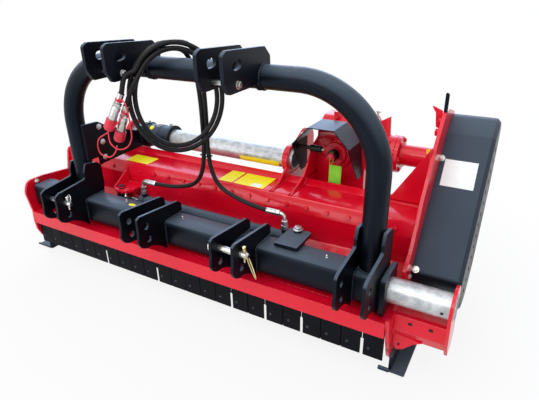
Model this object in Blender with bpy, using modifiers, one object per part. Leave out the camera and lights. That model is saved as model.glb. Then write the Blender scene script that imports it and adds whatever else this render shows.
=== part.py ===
"""Side-shift flail mower with hammer knives, for a tractor's three-point linkage.

Every length here is in millimetres and becomes metres in the helpers.  The design frame has its
origin at the lower link pin hole of the first link plate: X runs along the machine, Y goes back
from the tractor and Z goes up.  All pieces hang on one empty that moves this frame to the floor.
"""

import math

import bmesh
import bpy
from mathutils import Matrix, Vector

MM = 0.001
GAP = 0.3                     # clearance that touching pieces keep

# Linkage and headstock
LINK_PAIR_X = (0.0, 427.0, 825.0, 1252.0)
LINK_PAIR_WIDTH = 84.0        # between the middles of a pair's plates
LINK_PLATE = 10.0
LINK_HOLE = 11.6
LINK_UPPER_HOLE = (-5.0, 55.0)
LINK_PIN = 10.9
TRAVEL = 178.0

BEAM_SIZE = 100.0
BEAM_WALL = 8.0
BEAM_CORNER = 13.0
BEAM_END_ROOM = (6.0, 26.0)   # from each side plate's inner face to the beam's end
COLLAR_SIZE = 130.0
COLLAR_PLATE = 12.0

# Slide tubes
TUBE = 40.0
TUBE_WALL = 5.0
SLIDE_FIT = 0.35
TUBE_SIDES = 20               # a tube and the bores on it share their facets
FRONT_TUBE_Y = 139.0
FRONT_TUBE_Z = -20.0
REAR_TUBE_Y = 498.0
REAR_TUBE_Z = 200.0

# Arch of the headstock
ARCH_RADIUS = (LINK_PAIR_WIDTH - LINK_PLATE) / 2 - GAP
ARCH_BEND = 250.0
ARCH_Y = 148.0
ARCH_TOP_Z = 585.0
CLEVIS_X = (412.5, 496.5, 839.6, 923.6)
CLEVIS_PLATE = 12.0

# Body
SIDE_PLATE = 12.0
LEFT_INNER_X = -256.0
RIGHT_INNER_X = 1376.0
DECK_SHEET = 5.0
OUTRIGGER_REACH = 167.0       # from the right side plate's inner face
END_PLATE = 10.0
GROUND_Z = -320.0
END_PLATE_X = RIGHT_INNER_X + OUTRIGGER_REACH
BEAM_LEFT = LEFT_INNER_X + BEAM_END_ROOM[0]
BEAM_RIGHT = RIGHT_INNER_X - BEAM_END_ROOM[1]

# Rotor, belt drive and gearbox
ROTOR_Y = 455.0
ROTOR_Z = -125.0
ROTOR_TUBE = 54.0
HAMMER_SWING = 160.0
HAMMER_COUNT = 22
SHAFT = 22.0
OUTPUT_Y = 650.0
OUTPUT_Z = 230.0
UPPER_PULLEY = 88.0
LOWER_PULLEY = 70.0
PULLEY_WIDTH = 84.0
PULLEY_ROOM = 24.0            # between the right side plate and the pulleys
PULLEY_X = RIGHT_INNER_X + SIDE_PLATE + PULLEY_ROOM
BELT = 9.0
COVER_WIDTH = 158.0
COVER_WALL = 3.0
COVER_BEND = 12.0
COVER_SLOTS = 14
PTO_X = 1005.0
PTO_Z = 233.0
PTO_TIP_Y = 495.0

# Cylinder of the side shift
CYLINDER_Y = 225.0
CYLINDER_Z = 5.0
BARREL = 28.0
BARREL_BORE = 22.3
BARREL_LEFT = 270.0
BARREL_RIGHT = 968.0
ROD = 14.0
ROD_EYE_X = 160.0
BARREL_EYE_X = BARREL_RIGHT + 36.0
EYE = 24.0
EYE_PIN = 9.0

# Flaps, skids and roller
FLAP_GROUPS = (2, 2, 2, 2, 2, 2, 3, 2, 2, 3, 1)   # leaves that hang together
FLAP_SLITS = (3, 5, 7, 8, 9, 10)                  # groups that a slit divides from the next
FLAP_SPACE = 2.4
FLAP_SLIT = 10.0
FLAP_SLIT_TOP_Z = -186.0
FLAP_ROD = 6.0
FLAP_ROD_Y = 78.0
FLAP_ROD_Z = -118.0
FLAP_BOTTOM_Z = -250.0
FLAP_EYE = 11.0
FLAP_SHEET = 4.0
SKID_SHEET = 8.0
SKID_WIDTH = (86.7, 52.0)     # the left and right sole, outside the side plates
SKID_FRONT_Y = 106.0
SKID_TOP_Z = -254.0
ROLLER = 70.0
ROLLER_Y = 700.0
ROLLER_STUB = 15.0
BRACKET = 10.0

# Hoses
HOSE = 8.0
HOSE_POINTS = 78

# Where the design frame's origin lies in the finished part's frame
FRONT_Y = -60.0
REAR_Y = ROLLER_Y + ROLLER
TUBE_END = 3.0                # how far the front tube stands out of its end plate
SKID_OUTER_LEFT = LEFT_INNER_X - SIDE_PLATE - GAP - SKID_WIDTH[0]
MIDDLE_X = (SKID_OUTER_LEFT + END_PLATE_X + END_PLATE + TUBE_END) / 2
MIDDLE_Y = (FRONT_Y + REAR_Y) / 2

FRONT_BAR = ((60, -149), (60, -92), (105 - GAP, -92))

for old in list(bpy.data.objects):
    bpy.data.objects.remove(old, do_unlink=True)

parts = bpy.data.collections.new("hammer_knife_mower")
bpy.context.scene.collection.children.link(parts)
cutters = bpy.data.collections.new("cutters")
bpy.context.scene.collection.children.link(cutters)

datum = bpy.data.objects.new("link_pin_datum", None)
datum.location = Vector((-MIDDLE_X, -MIDDLE_Y, -GROUND_Z)) * MM
parts.objects.link(datum)

# A flat shape's own X and Y become the directions that its plane names
PLANES = {
    "YZ": (math.pi / 2, 0, math.pi / 2),
    "XZ": (math.pi / 2, 0, 0),
    "XY": (0, 0, 0),
}


def paint(name, colour, roughness, metallic):
    material = bpy.data.materials.new(name)
    material.use_nodes = True
    shader = material.node_tree.nodes["Principled BSDF"]
    shader.inputs["Base Color"].default_value = (*colour, 1)
    shader.inputs["Roughness"].default_value = roughness
    shader.inputs["Metallic"].default_value = metallic
    return material


RED = paint("red_paint", (0.72, 0.02, 0.04), 0.35, 0.0)
BLACK = paint("black_paint", (0.012, 0.013, 0.018), 0.35, 0.0)
SILVER = paint("bare_steel", (0.75, 0.74, 0.7), 0.3, 1.0)
ZINC = paint("zinc", (0.62, 0.62, 0.6), 0.35, 1.0)
RUBBER = paint("rubber", (0.02, 0.02, 0.02), 0.7, 0.0)


def add(name, mesh, material, location=(0, 0, 0), rotation=(0, 0, 0), tool=False):
    """Put a mesh in the scene as a part, or as a hidden tool for a Boolean."""
    obj = bpy.data.objects.new(name, mesh)
    obj.location = Vector(location) * MM
    obj.rotation_euler = rotation
    obj.parent = datum
    if tool:
        cutters.objects.link(obj)
        obj.hide_render = True
        obj.display_type = "WIRE"
    else:
        parts.objects.link(obj)
        obj.data.materials.append(material)
    return obj


def boolean(target, tool, operation):
    modifier = target.modifiers.new(operation.lower(), "BOOLEAN")
    modifier.operation = operation
    modifier.solver = "EXACT"
    modifier.object = tool


def clean_mesh(name, bm):
    bmesh.ops.remove_doubles(bm, verts=bm.verts, dist=0.00001)
    bmesh.ops.recalc_face_normals(bm, faces=bm.faces)
    mesh = bpy.data.meshes.new(name)
    bm.to_mesh(mesh)
    bm.free()
    mesh.shade_smooth()
    mesh.set_sharp_from_angle(angle=math.radians(35))
    return mesh


def mesh_of_curve(name, curve):
    """Turn a curve into a closed mesh and drop the curve."""
    holder = bpy.data.objects.new(name + "_curve", curve)
    parts.objects.link(holder)
    graph = bpy.context.evaluated_depsgraph_get()
    raw = bpy.data.meshes.new_from_object(holder.evaluated_get(graph))
    bm = bmesh.new()
    bm.from_mesh(raw)
    bpy.data.objects.remove(holder, do_unlink=True)
    bpy.data.curves.remove(curve)
    bpy.data.meshes.remove(raw)
    return clean_mesh(name, bm)


def rounded(corners, closed=True, steps=2):
    """Outline whose corners (a, b, radius) are filleted; a corner (a, b) stays sharp."""
    count = len(corners)
    outline = []
    for index, corner in enumerate(corners):
        here = Vector(corner[:2])
        at_end = not closed and index in (0, count - 1)
        if len(corner) < 3 or at_end:
            outline.append(here)
            continue
        before = Vector(corners[index - 1][:2])
        after = Vector(corners[(index + 1) % count][:2])
        towards_before = (before - here).normalized()
        towards_after = (after - here).normalized()
        half = towards_before.angle(towards_after) / 2
        room = 0.48 * min((before - here).length, (after - here).length)
        reach = min(corner[2] / math.tan(half), room)
        radius = reach * math.tan(half)
        centre = here + (towards_before + towards_after).normalized() * radius / math.sin(half)
        first = here + towards_before * reach - centre
        last = here + towards_after * reach - centre
        start = math.atan2(first.y, first.x)
        sweep = math.atan2(last.y, last.x) - start
        sweep = (sweep + math.pi) % (2 * math.pi) - math.pi
        for step in range(steps + 1):
            angle = start + sweep * step / steps
            outline.append(centre + Vector((math.cos(angle), math.sin(angle))) * radius)
    return outline


def circle(centre, radius, sides=16, start=0.0, sweep=2 * math.pi):
    """Points round a circle; a full turn doesn't repeat its first point."""
    full = abs(sweep) > 2 * math.pi - 0.001
    steps = sides if full else sides + 1
    points = []
    for step in range(steps):
        angle = start + sweep * step / sides
        points.append(Vector(centre) + Vector((math.cos(angle), math.sin(angle))) * radius)
    return points


def hole(centre, radius, sides=12):
    """Circle whose flats, not its corners, lie on the radius."""
    return circle(centre, radius / math.cos(math.pi / sides), sides)


def slot(centre, radius, length, tilt=0.0, sides=8):
    """Round-ended slot; its long axis is tilted from the first axis."""
    half = length / 2 - radius
    along = Vector((math.cos(tilt), math.sin(tilt))) * half
    turn = math.pi / 2
    ends = circle(Vector(centre) + along, radius, sides, tilt - turn, math.pi)
    ends += circle(Vector(centre) - along, radius, sides, tilt + turn, math.pi)
    return ends


def offset(path, distance, closed=False):
    """Path moved sideways, to its left where the distance is positive."""
    points = [Vector(point[:2]) for point in path]
    count = len(points)
    moved = []
    for index, here in enumerate(points):
        sides = []
        if closed or index > 0:
            sides.append((here - points[index - 1]).normalized())
        if closed or index < count - 1:
            sides.append((points[(index + 1) % count] - here).normalized())
        normals = [Vector((-side.y, side.x)) for side in sides]
        middle = (normals[0] + normals[-1]).normalized()
        moved.append(here + middle * distance / middle.dot(normals[0]))
    return moved


def extruded_mesh(name, outline, holes, thickness):
    curve = bpy.data.curves.new(name, "CURVE")
    curve.dimensions = "2D"
    curve.fill_mode = "BOTH"
    curve.extrude = thickness / 2 * MM
    for loop in [outline] + list(holes):
        spline = curve.splines.new("POLY")
        spline.points.add(len(loop) - 1)
        spline.use_cyclic_u = True
        for point, place in zip(spline.points, loop):
            point.co = (place[0] * MM, place[1] * MM, 0, 1)
    return mesh_of_curve(name, curve)


def plate(name, outline, low, high, material, plane="YZ", holes=(), tool=False):
    """Flat piece between two stations along its plane's normal axis."""
    mesh = extruded_mesh(name, outline, holes, high - low)
    middle = (low + high) / 2
    location = {"YZ": (middle, 0, 0), "XZ": (0, middle, 0), "XY": (0, 0, middle)}[plane]
    return add(name, mesh, material, location, PLANES[plane], tool)


def folded(name, path, low, high, sheet, material, plane="YZ", grow=-1):
    """Bent sheet: an open ribbon along the path, given its thickness by Solidify."""
    bm = bmesh.new()
    rows = []
    for point in path:
        near = bm.verts.new((point[0] * MM, point[1] * MM, low * MM))
        far = bm.verts.new((point[0] * MM, point[1] * MM, high * MM))
        rows.append((near, far))
    for (near, far), (next_near, next_far) in zip(rows, rows[1:]):
        bm.faces.new((near, far, next_far, next_near))
    mesh = bpy.data.meshes.new(name)
    bm.to_mesh(mesh)
    bm.free()
    sheet_part = add(name, mesh, material, (0, 0, 0), PLANES[plane])
    thick = sheet_part.modifiers.new("sheet", "SOLIDIFY")
    thick.thickness = sheet * MM
    thick.offset = grow
    thick.use_even_offset = True
    return sheet_part


def stepped(name, stations, material, tool=False):
    """Closed body along X through outlines of one point count, given as (station, outline)."""
    bm = bmesh.new()
    rings = []
    for station, outline in stations:
        rings.append([bm.verts.new((y * MM, z * MM, station * MM)) for y, z in outline])
    for ring, after in zip(rings, rings[1:]):
        for index, vert in enumerate(ring):
            follow = (index + 1) % len(ring)
            bm.faces.new((vert, ring[follow], after[follow], after[index]))
    bm.faces.new(rings[0][::-1])
    bm.faces.new(rings[-1])
    return add(name, clean_mesh(name, bm), material, (0, 0, 0), PLANES["YZ"], tool)


def turned(name, profile, centre, material, axis="X", sides=20, tool=False):
    """Revolved piece.  The profile's points are (station, radius), in order round the section."""
    bm = bmesh.new()
    row = [bm.verts.new((radius * MM, 0, station * MM)) for station, radius in profile]
    for first, second in zip(row, row[1:]):
        bm.edges.new((first, second))
    if profile[0][1] > 0:
        bm.edges.new((row[-1], row[0]))
    bmesh.ops.spin(bm, geom=bm.verts[:] + bm.edges[:], cent=(0, 0, 0), axis=(0, 0, 1),
                   angle=2 * math.pi, steps=sides, use_merge=True)
    mesh = clean_mesh(name, bm)
    rotation = {"X": (0, math.pi / 2, 0), "Y": (-math.pi / 2, 0, 0), "Z": (0, 0, 0)}[axis]
    return add(name, mesh, material, centre, rotation, tool)


def swept(name, points, radius, material, resolution=2, tool=False):
    """Round bar or tube along a run of points."""
    curve = bpy.data.curves.new(name, "CURVE")
    curve.dimensions = "3D"
    curve.bevel_depth = radius * MM
    curve.bevel_resolution = resolution
    curve.use_fill_caps = True
    spline = curve.splines.new("POLY")
    spline.points.add(len(points) - 1)
    for point, place in zip(spline.points, points):
        point.co = (place[0] * MM, place[1] * MM, place[2] * MM, 1)
    return add(name, mesh_of_curve(name, curve), material, tool=tool)


def smooth_route(stops, count):
    """Evenly spaced points on a smooth curve through the stops."""
    stops = [Vector(stop) for stop in stops]
    fine = []
    for index in range(len(stops) - 1):
        before = stops[max(index - 1, 0)]
        start = stops[index]
        end = stops[index + 1]
        after = stops[min(index + 2, len(stops) - 1)]
        for step in range(12):
            t = step / 12
            fine.append(0.5 * (2 * start + (end - before) * t
                               + (2 * before - 5 * start + 4 * end - after) * t ** 2
                               + (3 * start - before - 3 * end + after) * t ** 3))
    fine.append(stops[-1])
    lengths = [0.0]
    for first, second in zip(fine, fine[1:]):
        lengths.append(lengths[-1] + (second - first).length)
    points = []
    index = 0
    for step in range(count):
        want = lengths[-1] * step / (count - 1)
        while index < len(fine) - 2 and lengths[index + 1] < want:
            index += 1
        share = (want - lengths[index]) / (lengths[index + 1] - lengths[index])
        points.append(fine[index].lerp(fine[index + 1], share))
    return points


def surface_between(path, first, last):
    """The part of a path between two first-axis values, ends included."""
    line = []
    for start, end in zip(path, path[1:]):
        span = end[0] - start[0]
        if span <= 0:
            continue
        for value in (first, last):
            if start[0] < value < end[0]:
                line.append((value, start[1] + (end[1] - start[1]) * (value - start[0]) / span))
        for point in (start, end):
            if first <= point[0] <= last:
                line.append((point[0], point[1]))
    line.sort(key=lambda point: point[0])
    return [point for index, point in enumerate(line) if index == 0 or point != line[index - 1]]


# Folded deck sheet between the side plates
deck_path = rounded([(105, -92), (212, -91, 12), (315, -25, 12), (308, 75, 10), (320, 128, 12), (432, 130),
                     (462, 150, 8), (480, 120, 12), (620, 60, 60), (680, -120)], closed=False)
deck = folded("deck", deck_path, LEFT_INNER_X + GAP, RIGHT_INNER_X - GAP, DECK_SHEET, RED)
deck_seat = offset(deck_path, GAP)

# Front bar with the flap rod and the hinged flaps behind it
front_bar = folded("front_bar", FRONT_BAR, LEFT_INNER_X + GAP, RIGHT_INNER_X - GAP,
                   DECK_SHEET, RED)
turned("flap_rod", [(LEFT_INNER_X + GAP, 0), (LEFT_INNER_X + GAP, FLAP_ROD),
                    (RIGHT_INNER_X - GAP, FLAP_ROD), (RIGHT_INNER_X - GAP, 0)],
       (0, FLAP_ROD_Y, FLAP_ROD_Z), ZINC, sides=10)

leaf_width = (RIGHT_INNER_X - LEFT_INNER_X) / sum(FLAP_GROUPS)
stem = math.asin(FLAP_SHEET / 2 / FLAP_EYE)
flap_outline = circle((0, 0), FLAP_EYE, 12, -math.pi / 2 + stem, 2 * math.pi - 2 * stem)
flap_outline += [Vector((-FLAP_SHEET / 2, FLAP_BOTTOM_Z - FLAP_ROD_Z)),
                 Vector((FLAP_SHEET / 2, FLAP_BOTTOM_Z - FLAP_ROD_Z))]
first_leaf = 0
for index, leaves in enumerate(FLAP_GROUPS):
    left = LEFT_INNER_X + first_leaf * leaf_width + FLAP_SPACE / 2
    right = LEFT_INNER_X + (first_leaf + leaves) * leaf_width - FLAP_SPACE / 2
    mesh = extruded_mesh(f"flap_{index + 1}", flap_outline, [hole((0, 0), FLAP_ROD + 0.4, 10)],
                         right - left)
    flap = add(f"flap_{index + 1:02d}", mesh, BLACK,
               ((left + right) / 2, FLAP_ROD_Y, FLAP_ROD_Z), PLANES["YZ"])
    cuts = [(LEFT_INNER_X + (first_leaf + leaf) * leaf_width, FLAP_SPACE,
             FLAP_ROD_Z - FLAP_EYE - 8) for leaf in range(1, leaves)]
    if index in FLAP_SLITS:
        cuts.append((left, FLAP_SLIT - FLAP_SPACE, FLAP_SLIT_TOP_Z))
    if index + 1 in FLAP_SLITS:
        cuts.append((right, FLAP_SLIT - FLAP_SPACE, FLAP_SLIT_TOP_Z))
    for cut, (middle, width, top) in enumerate(cuts):
        outline = [(FLAP_ROD_Y - 20, FLAP_BOTTOM_Z - 10), (FLAP_ROD_Y + 20, FLAP_BOTTOM_Z - 10),
                   (FLAP_ROD_Y + 20, top), (FLAP_ROD_Y - 20, top)]
        tool = plate(f"flap_cut_{index + 1}_{cut}", outline, middle - width / 2,
                     middle + width / 2, BLACK, tool=True)
        boolean(flap, tool, "DIFFERENCE")
    first_leaf += leaves

# Skid shoes: a sole outside each side plate, and an upright web bolted to the plate's face
skid_path = rounded([(SKID_FRONT_Y - 2, GROUND_Z + 9), (SKID_FRONT_Y + 12, GROUND_Z, 10),
                     (600, GROUND_Z, 20), (640, GROUND_Z + 20)], closed=False)
web_outline = rounded([(SKID_FRONT_Y + 6, GROUND_Z + SKID_SHEET - 3),
                       (SKID_FRONT_Y + 6, SKID_TOP_Z, 8), (560, SKID_TOP_Z, 30),
                       (606, GROUND_Z + SKID_SHEET - 3)])
for name, sign, face in (("skid_left", -1, LEFT_INNER_X - SIDE_PLATE - GAP),
                         ("skid_right", 1, RIGHT_INNER_X + SIDE_PLATE + GAP)):
    width = SKID_WIDTH[0] if sign < 0 else SKID_WIDTH[1]
    sole = sorted((face + sign * 1.0, face + sign * width))
    skid = folded(name, skid_path, *sole, SKID_SHEET, BLACK, grow=1)
    web = plate(name + "_web_tool", web_outline, *sorted((face, face + sign * SKID_SHEET)),
                BLACK, tool=True)
    boolean(skid, web, "UNION")
plate_foot = [Vector((700, -200)), Vector((620, GROUND_Z + 14)), Vector((160, GROUND_Z + 14))]

# Side plates.  The left one carries the front tube's end, the right one is cut out round the
# beam and carries the belt drive
deck_rise = offset(deck_path, 12)
rise_start = next(index for index, point in enumerate(deck_rise) if point.y > 60)
left_outline = rounded([(101, -248), (78, -222, 10), (62, -182), (59, -138), (62, -92),
                        (48, 2, 50), (66, 54, 40), (150, 54, 40), (288, 40)],
                       closed=False, steps=3)
left_outline += deck_rise[rise_start:] + plate_foot
tube_hole = circle((FRONT_TUBE_Y, FRONT_TUBE_Z), TUBE + GAP, TUBE_SIDES)
rotor_hole = hole((ROTOR_Y, ROTOR_Z), SHAFT + 0.6, 20)
plate("side_plate_left", left_outline, LEFT_INNER_X - SIDE_PLATE,
      LEFT_INNER_X, RED, holes=[tube_hole, rotor_hole])

notch_front = FRONT_TUBE_Y - COLLAR_SIZE / 2 - 4
notch_back = FRONT_TUBE_Y + COLLAR_SIZE / 2 + 4
notch_floor = FRONT_TUBE_Z - COLLAR_SIZE / 2 - 4
right_outline = rounded([(110, -252, 10), (79, -169), (58, -78), (notch_front, -78),
                         (notch_front, notch_floor), (notch_back, notch_floor, 12),
                         (notch_back, 10, 10), (262, 40, 20), (314, 123), (347, 191),
                         (413, 273), (461, 344), (535, 414), (550, 432, 8), (610, 432, 20),
                         (720, 400, 30), (765, 300, 60), (700, -40, 60), (700, -200)],
                        closed=False)
right_outline += plate_foot[1:]
output_hole = hole((OUTPUT_Y, OUTPUT_Z), SHAFT + 0.6, 20)
side_plate_right = plate("side_plate_right", right_outline, RIGHT_INNER_X,
                         RIGHT_INNER_X + SIDE_PLATE, RED, holes=[rotor_hole, output_hole])

# Diagonal gusset on the right side plate, standing on the deck
gusset_y = (438.0, 446.0)
gusset_base = max(height for _, height in surface_between(deck_seat, 430, gusset_y[1])) + 0.2
gusset = plate("gusset_tool", [(RIGHT_INNER_X + 2, 343), (RIGHT_INNER_X + 2, gusset_base),
                               (RIGHT_INNER_X - 121, gusset_base),
                              (RIGHT_INNER_X - 115, gusset_base + 14)],
               *gusset_y, RED, plane="XZ", tool=True)
boolean(side_plate_right, gusset, "UNION")

# Outrigger that carries the front tube's right end
folded("outrigger_channel", rounded([(136, -184), (114, -142, 12), (122, -92, 8), (212, -92)],
                                    closed=False),
       RIGHT_INNER_X + SIDE_PLATE + GAP, END_PLATE_X - GAP, DECK_SHEET, RED)
end_outline = circle((FRONT_TUBE_Y, FRONT_TUBE_Z), 66, 10, math.pi * 1.02, -math.pi * 1.04)
end_outline += [Vector((FRONT_TUBE_Y + 73, -150)), Vector((FRONT_TUBE_Y + 51, -192)),
                Vector((FRONT_TUBE_Y - 11, -192)), Vector((FRONT_TUBE_Y - 41, -140))]
plate("tube_end_plate", end_outline, END_PLATE_X, END_PLATE_X + END_PLATE, RED,
      holes=[circle((FRONT_TUBE_Y, FRONT_TUBE_Z), TUBE + GAP, TUBE_SIDES)])


def tube(name, left, right, y, z):
    """Silver slide tube."""
    return plate(name, circle((y, z), TUBE, TUBE_SIDES), left, right, SILVER,
                 holes=[circle((y, z), TUBE - TUBE_WALL, TUBE_SIDES)])


tube("front_slide_tube", LEFT_INNER_X - SIDE_PLATE - 8, END_PLATE_X + END_PLATE + TUBE_END,
     FRONT_TUBE_Y, FRONT_TUBE_Z)

# Headstock beam: a square tube with a bored plate at each end, which slide on the front tube
half = BEAM_SIZE / 2


def square_round(reach, *corner):
    """Square about the front tube's axis, by half its width; a corner radius rounds it."""
    signs = ((-1, -1), (1, -1), (1, 1), (-1, 1))
    return [(FRONT_TUBE_Y + y * reach, FRONT_TUBE_Z + z * reach, *corner) for y, z in signs]


bore = square_round(half - BEAM_WALL)
slide_bore = circle((FRONT_TUBE_Y, FRONT_TUBE_Z), TUBE + SLIDE_FIT, TUBE_SIDES)
beam = plate("beam", rounded(square_round(half, BEAM_CORNER)), BEAM_LEFT, BEAM_RIGHT, BLACK,
             holes=[bore])
collar = plate("collar_tool", rounded(square_round(COLLAR_SIZE / 2, 10)), BEAM_RIGHT - 3,
               BEAM_RIGHT + COLLAR_PLATE, BLACK, holes=[slide_bore], tool=True)
boolean(beam, collar, "UNION")
bush = plate("bush_tool", square_round(half - BEAM_WALL / 2), BEAM_LEFT + 3,
             BEAM_LEFT + 3 + COLLAR_PLATE, BLACK, holes=[slide_bore], tool=True)
boolean(beam, bush, "UNION")

# Lug on the beam, with the bolt through the barrel's eye
lug_z = (CYLINDER_Z + BARREL + 2, CYLINDER_Z + BARREL + 14)
riser = plate("lug_riser_tool", [(134, FRONT_TUBE_Z + half - 4), (183, FRONT_TUBE_Z + half - 4),
                                 (183, lug_z[0] + 2), (134, lug_z[0] + 2)],
              BARREL_EYE_X - 34, BARREL_EYE_X + 38, BLACK, tool=True)
boolean(beam, riser, "UNION")
lug_outline = rounded([(BARREL_EYE_X - 38, 120), (BARREL_EYE_X + 47, 120),
                       (BARREL_EYE_X + 47, CYLINDER_Y + 17, 10),
                       (BARREL_EYE_X - 38, CYLINDER_Y + 17, 10)])
lug = plate("lug_tool", lug_outline, *lug_z, BLACK, plane="XY", tool=True)
boolean(beam, lug, "UNION")
lug_bolt = turned("lug_bolt_tool", [(CYLINDER_Z - EYE - 4, 0), (CYLINDER_Z - EYE - 4, EYE_PIN),
                                    (lug_z[1] - 1, EYE_PIN), (lug_z[1] - 1, 15),
                                    (lug_z[1] + 9, 15), (lug_z[1] + 9, 0)],
                  (BARREL_EYE_X, CYLINDER_Y, 0), BLACK, axis="Z", sides=12, tool=True)
boolean(beam, lug_bolt, "UNION")

# Link plates: four pairs that straddle the beam's front and top; the outer pairs reach up
# beside the arch's legs
seat_y = FRONT_TUBE_Y - half - GAP
seat_z = FRONT_TUBE_Z + half + GAP
front_edge = [(-45, 40, 40), (-52, 4, 20), (-42, -16, 14), (-20, -29, 16), (12, -32, 30),
              (42, -47, 40), (66, -64, 30), (80, -80, 4), (seat_y, -80)]
low_plate = rounded(front_edge + [(seat_y, seat_z), (190, seat_z), (190, 66, 6), (172, 81, 8),
                                  (-30, 103, 10), (-45, 96, 8)])
tall_plate = rounded(front_edge + [(seat_y, seat_z), (190, seat_z), (197, 60, 10),
                                   (197, 150, 6), (176, 168, 6), (120, 177, 8),
                                   (106, 140, 20), (108, 116, 10), (-26, 102, 10),
                                   (-45, 92, 10)])
link_holes = [hole((0, 0), LINK_HOLE), hole(LINK_UPPER_HOLE, LINK_HOLE)]
number = 0
for pair, left in enumerate(LINK_PAIR_X):
    for side in (0, 1):
        number += 1
        middle = left + side * LINK_PAIR_WIDTH
        outline = tall_plate if pair in (0, 3) else low_plate
        plate(f"link_plate_{number}", outline, middle - LINK_PLATE / 2,
              middle + LINK_PLATE / 2, BLACK, holes=link_holes)

# Link pins in the upper holes, each with a head and a lynch pin ring at its free end
for name, left in (("link_pin_left", LINK_PAIR_X[0]), ("link_pin_right", LINK_PAIR_X[2])):
    pin = turned(name, [(left - 30, 0), (left - 30, 17), (left - LINK_PLATE / 2 - GAP, 17),
                        (left - LINK_PLATE / 2 - GAP, LINK_PIN),
                        (left + LINK_PAIR_WIDTH + 32, LINK_PIN),
                        (left + LINK_PAIR_WIDTH + 36, LINK_PIN - 4),
                        (left + LINK_PAIR_WIDTH + 36, 0)],
                 (0, *LINK_UPPER_HOLE), ZINC, sides=16)
    lynch_x = left + LINK_PAIR_WIDTH + 20
    y, z = LINK_UPPER_HOLE
    lynch = turned(name + "_lynch_tool", [(z - 28, 0), (z - 28, 4.5), (z + 20, 4.5), (z + 20, 0)],
                   (lynch_x, y, 0), ZINC, axis="Z", sides=8, tool=True)
    boolean(pin, lynch, "UNION")

# Arch of bent tube on the beam, with the two pairs of top link plates welded on
arch_left = LINK_PAIR_X[0] + LINK_PAIR_WIDTH / 2
arch_right = LINK_PAIR_X[3] + LINK_PAIR_WIDTH / 2
arch_points = [(arch_left, ARCH_Y, seat_z)]
for corner_x, start, sign in ((arch_left + ARCH_BEND, math.pi, -1), (arch_right - ARCH_BEND, math.pi / 2, -1)):
    for step in range(9):
        angle = start + sign * math.pi / 2 * step / 8
        arch_points.append((corner_x + ARCH_BEND * math.cos(angle), ARCH_Y,
                            ARCH_TOP_Z - ARCH_BEND + ARCH_BEND * math.sin(angle)))
arch_points.append((arch_right, ARCH_Y, seat_z))
arch = swept("arch", arch_points, ARCH_RADIUS, BLACK, resolution=4)
clevis_outline = rounded([(-39, 567, 12), (-60, 600, 30), (-60, 673, 12), (-40, 682, 8),
                          (152, 671, 6), (182, 643, 6), (184, 600, 6), (150, 580), (67, 568)])
clevis_holes = [slot((5, 640), 13, 44, math.radians(8), 6), hole((5, 588), 9.5, 10)]
for index, middle in enumerate(CLEVIS_X):
    clevis = plate(f"clevis_tool_{index + 1}", clevis_outline, middle - CLEVIS_PLATE / 2,
                   middle + CLEVIS_PLATE / 2, BLACK, holes=clevis_holes, tool=True)
    boolean(arch, clevis, "UNION")

# Rear arm from the arch's left leg to the sleeve on the rear tube
arm_left = arch_left + ARCH_RADIUS + GAP
arm_right = arm_left + 12
arm_notch = 197 + 1.5
arm_top = ARCH_TOP_Z - ARCH_BEND - 1
arm_outline = rounded([(138, arm_top, 6), (218, arm_top - 4, 20), (262, 300, 30), (420, 238, 60)],
                      closed=False)
arm_outline += circle((REAR_TUBE_Y, REAR_TUBE_Z), 54, 12, math.pi * 0.62, -math.pi * 1.32)
arm_outline += rounded([(430, 158), (arm_notch, 150), (arm_notch, 184, 4), (138, 184)],
                       closed=False)
plate("rear_arm", arm_outline, arm_left, arm_right, BLACK,
      holes=[circle((REAR_TUBE_Y, REAR_TUBE_Z), TUBE + SLIDE_FIT, TUBE_SIDES)])
sleeve_left = arm_right + GAP
SLEEVE_LENGTH = 156.0
sleeve_bore = TUBE + SLIDE_FIT
turned("slide_sleeve", [(0, sleeve_bore), (0, 57), (14, 57), (14, 51), (SLEEVE_LENGTH - 14, 51),
                        (SLEEVE_LENGTH - 14, 57), (SLEEVE_LENGTH, 57),
                        (SLEEVE_LENGTH, sleeve_bore)],
       (sleeve_left, REAR_TUBE_Y, REAR_TUBE_Z), BLACK, sides=TUBE_SIDES)

# Rear tube, from its left bracket to the gearbox support
SUPPORT_SHEET = 8.0
SUPPORT_LEFT_X = 838.0
SUPPORT_RIGHT_X = 917.0
tube("rear_slide_tube", 0.0, SUPPORT_LEFT_X + SUPPORT_SHEET + 12, REAR_TUBE_Y, REAR_TUBE_Z)
bracket_seat = [Vector(point) for point in surface_between(deck_seat, 392, 575)]
bracket_outline = bracket_seat[:]
bracket_outline += circle((REAR_TUBE_Y, REAR_TUBE_Z), 60, 10, -math.pi * 0.1, math.pi * 1.0)
plate("rear_tube_bracket", bracket_outline, 2.0, 18.0, RED,
      holes=[circle((REAR_TUBE_Y, REAR_TUBE_Z), TUBE + GAP, TUBE_SIDES)])

# Gearbox supports: curved plates on the deck; the left one has the ring boss of the rear tube
support_seat = [Vector(point) for point in surface_between(deck_seat, 324, 600)]
support_back = support_seat + rounded([(650, 90), (690, 150, 20), (690, 270, 30),
                                       (600, 300, 30), (530, 266)], closed=False)
right_support = support_back + [Vector(place) for place in
                                ((503, 239), (482, 216), (460, 192), (437, 165), (385, 145))]
left_support = support_back + circle((REAR_TUBE_Y, REAR_TUBE_Z), 58, 8, math.pi * 0.45,
                                     math.pi * 0.65) + [Vector((385, 145))]
support_hole = circle((REAR_TUBE_Y, REAR_TUBE_Z), TUBE + GAP, TUBE_SIDES)
support_left = plate("gearbox_support_left", left_support, SUPPORT_LEFT_X,
                     SUPPORT_LEFT_X + SUPPORT_SHEET, RED, holes=[support_hole])
plate("gearbox_support_right", right_support, SUPPORT_RIGHT_X,
      SUPPORT_RIGHT_X + SUPPORT_SHEET, RED)
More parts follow.
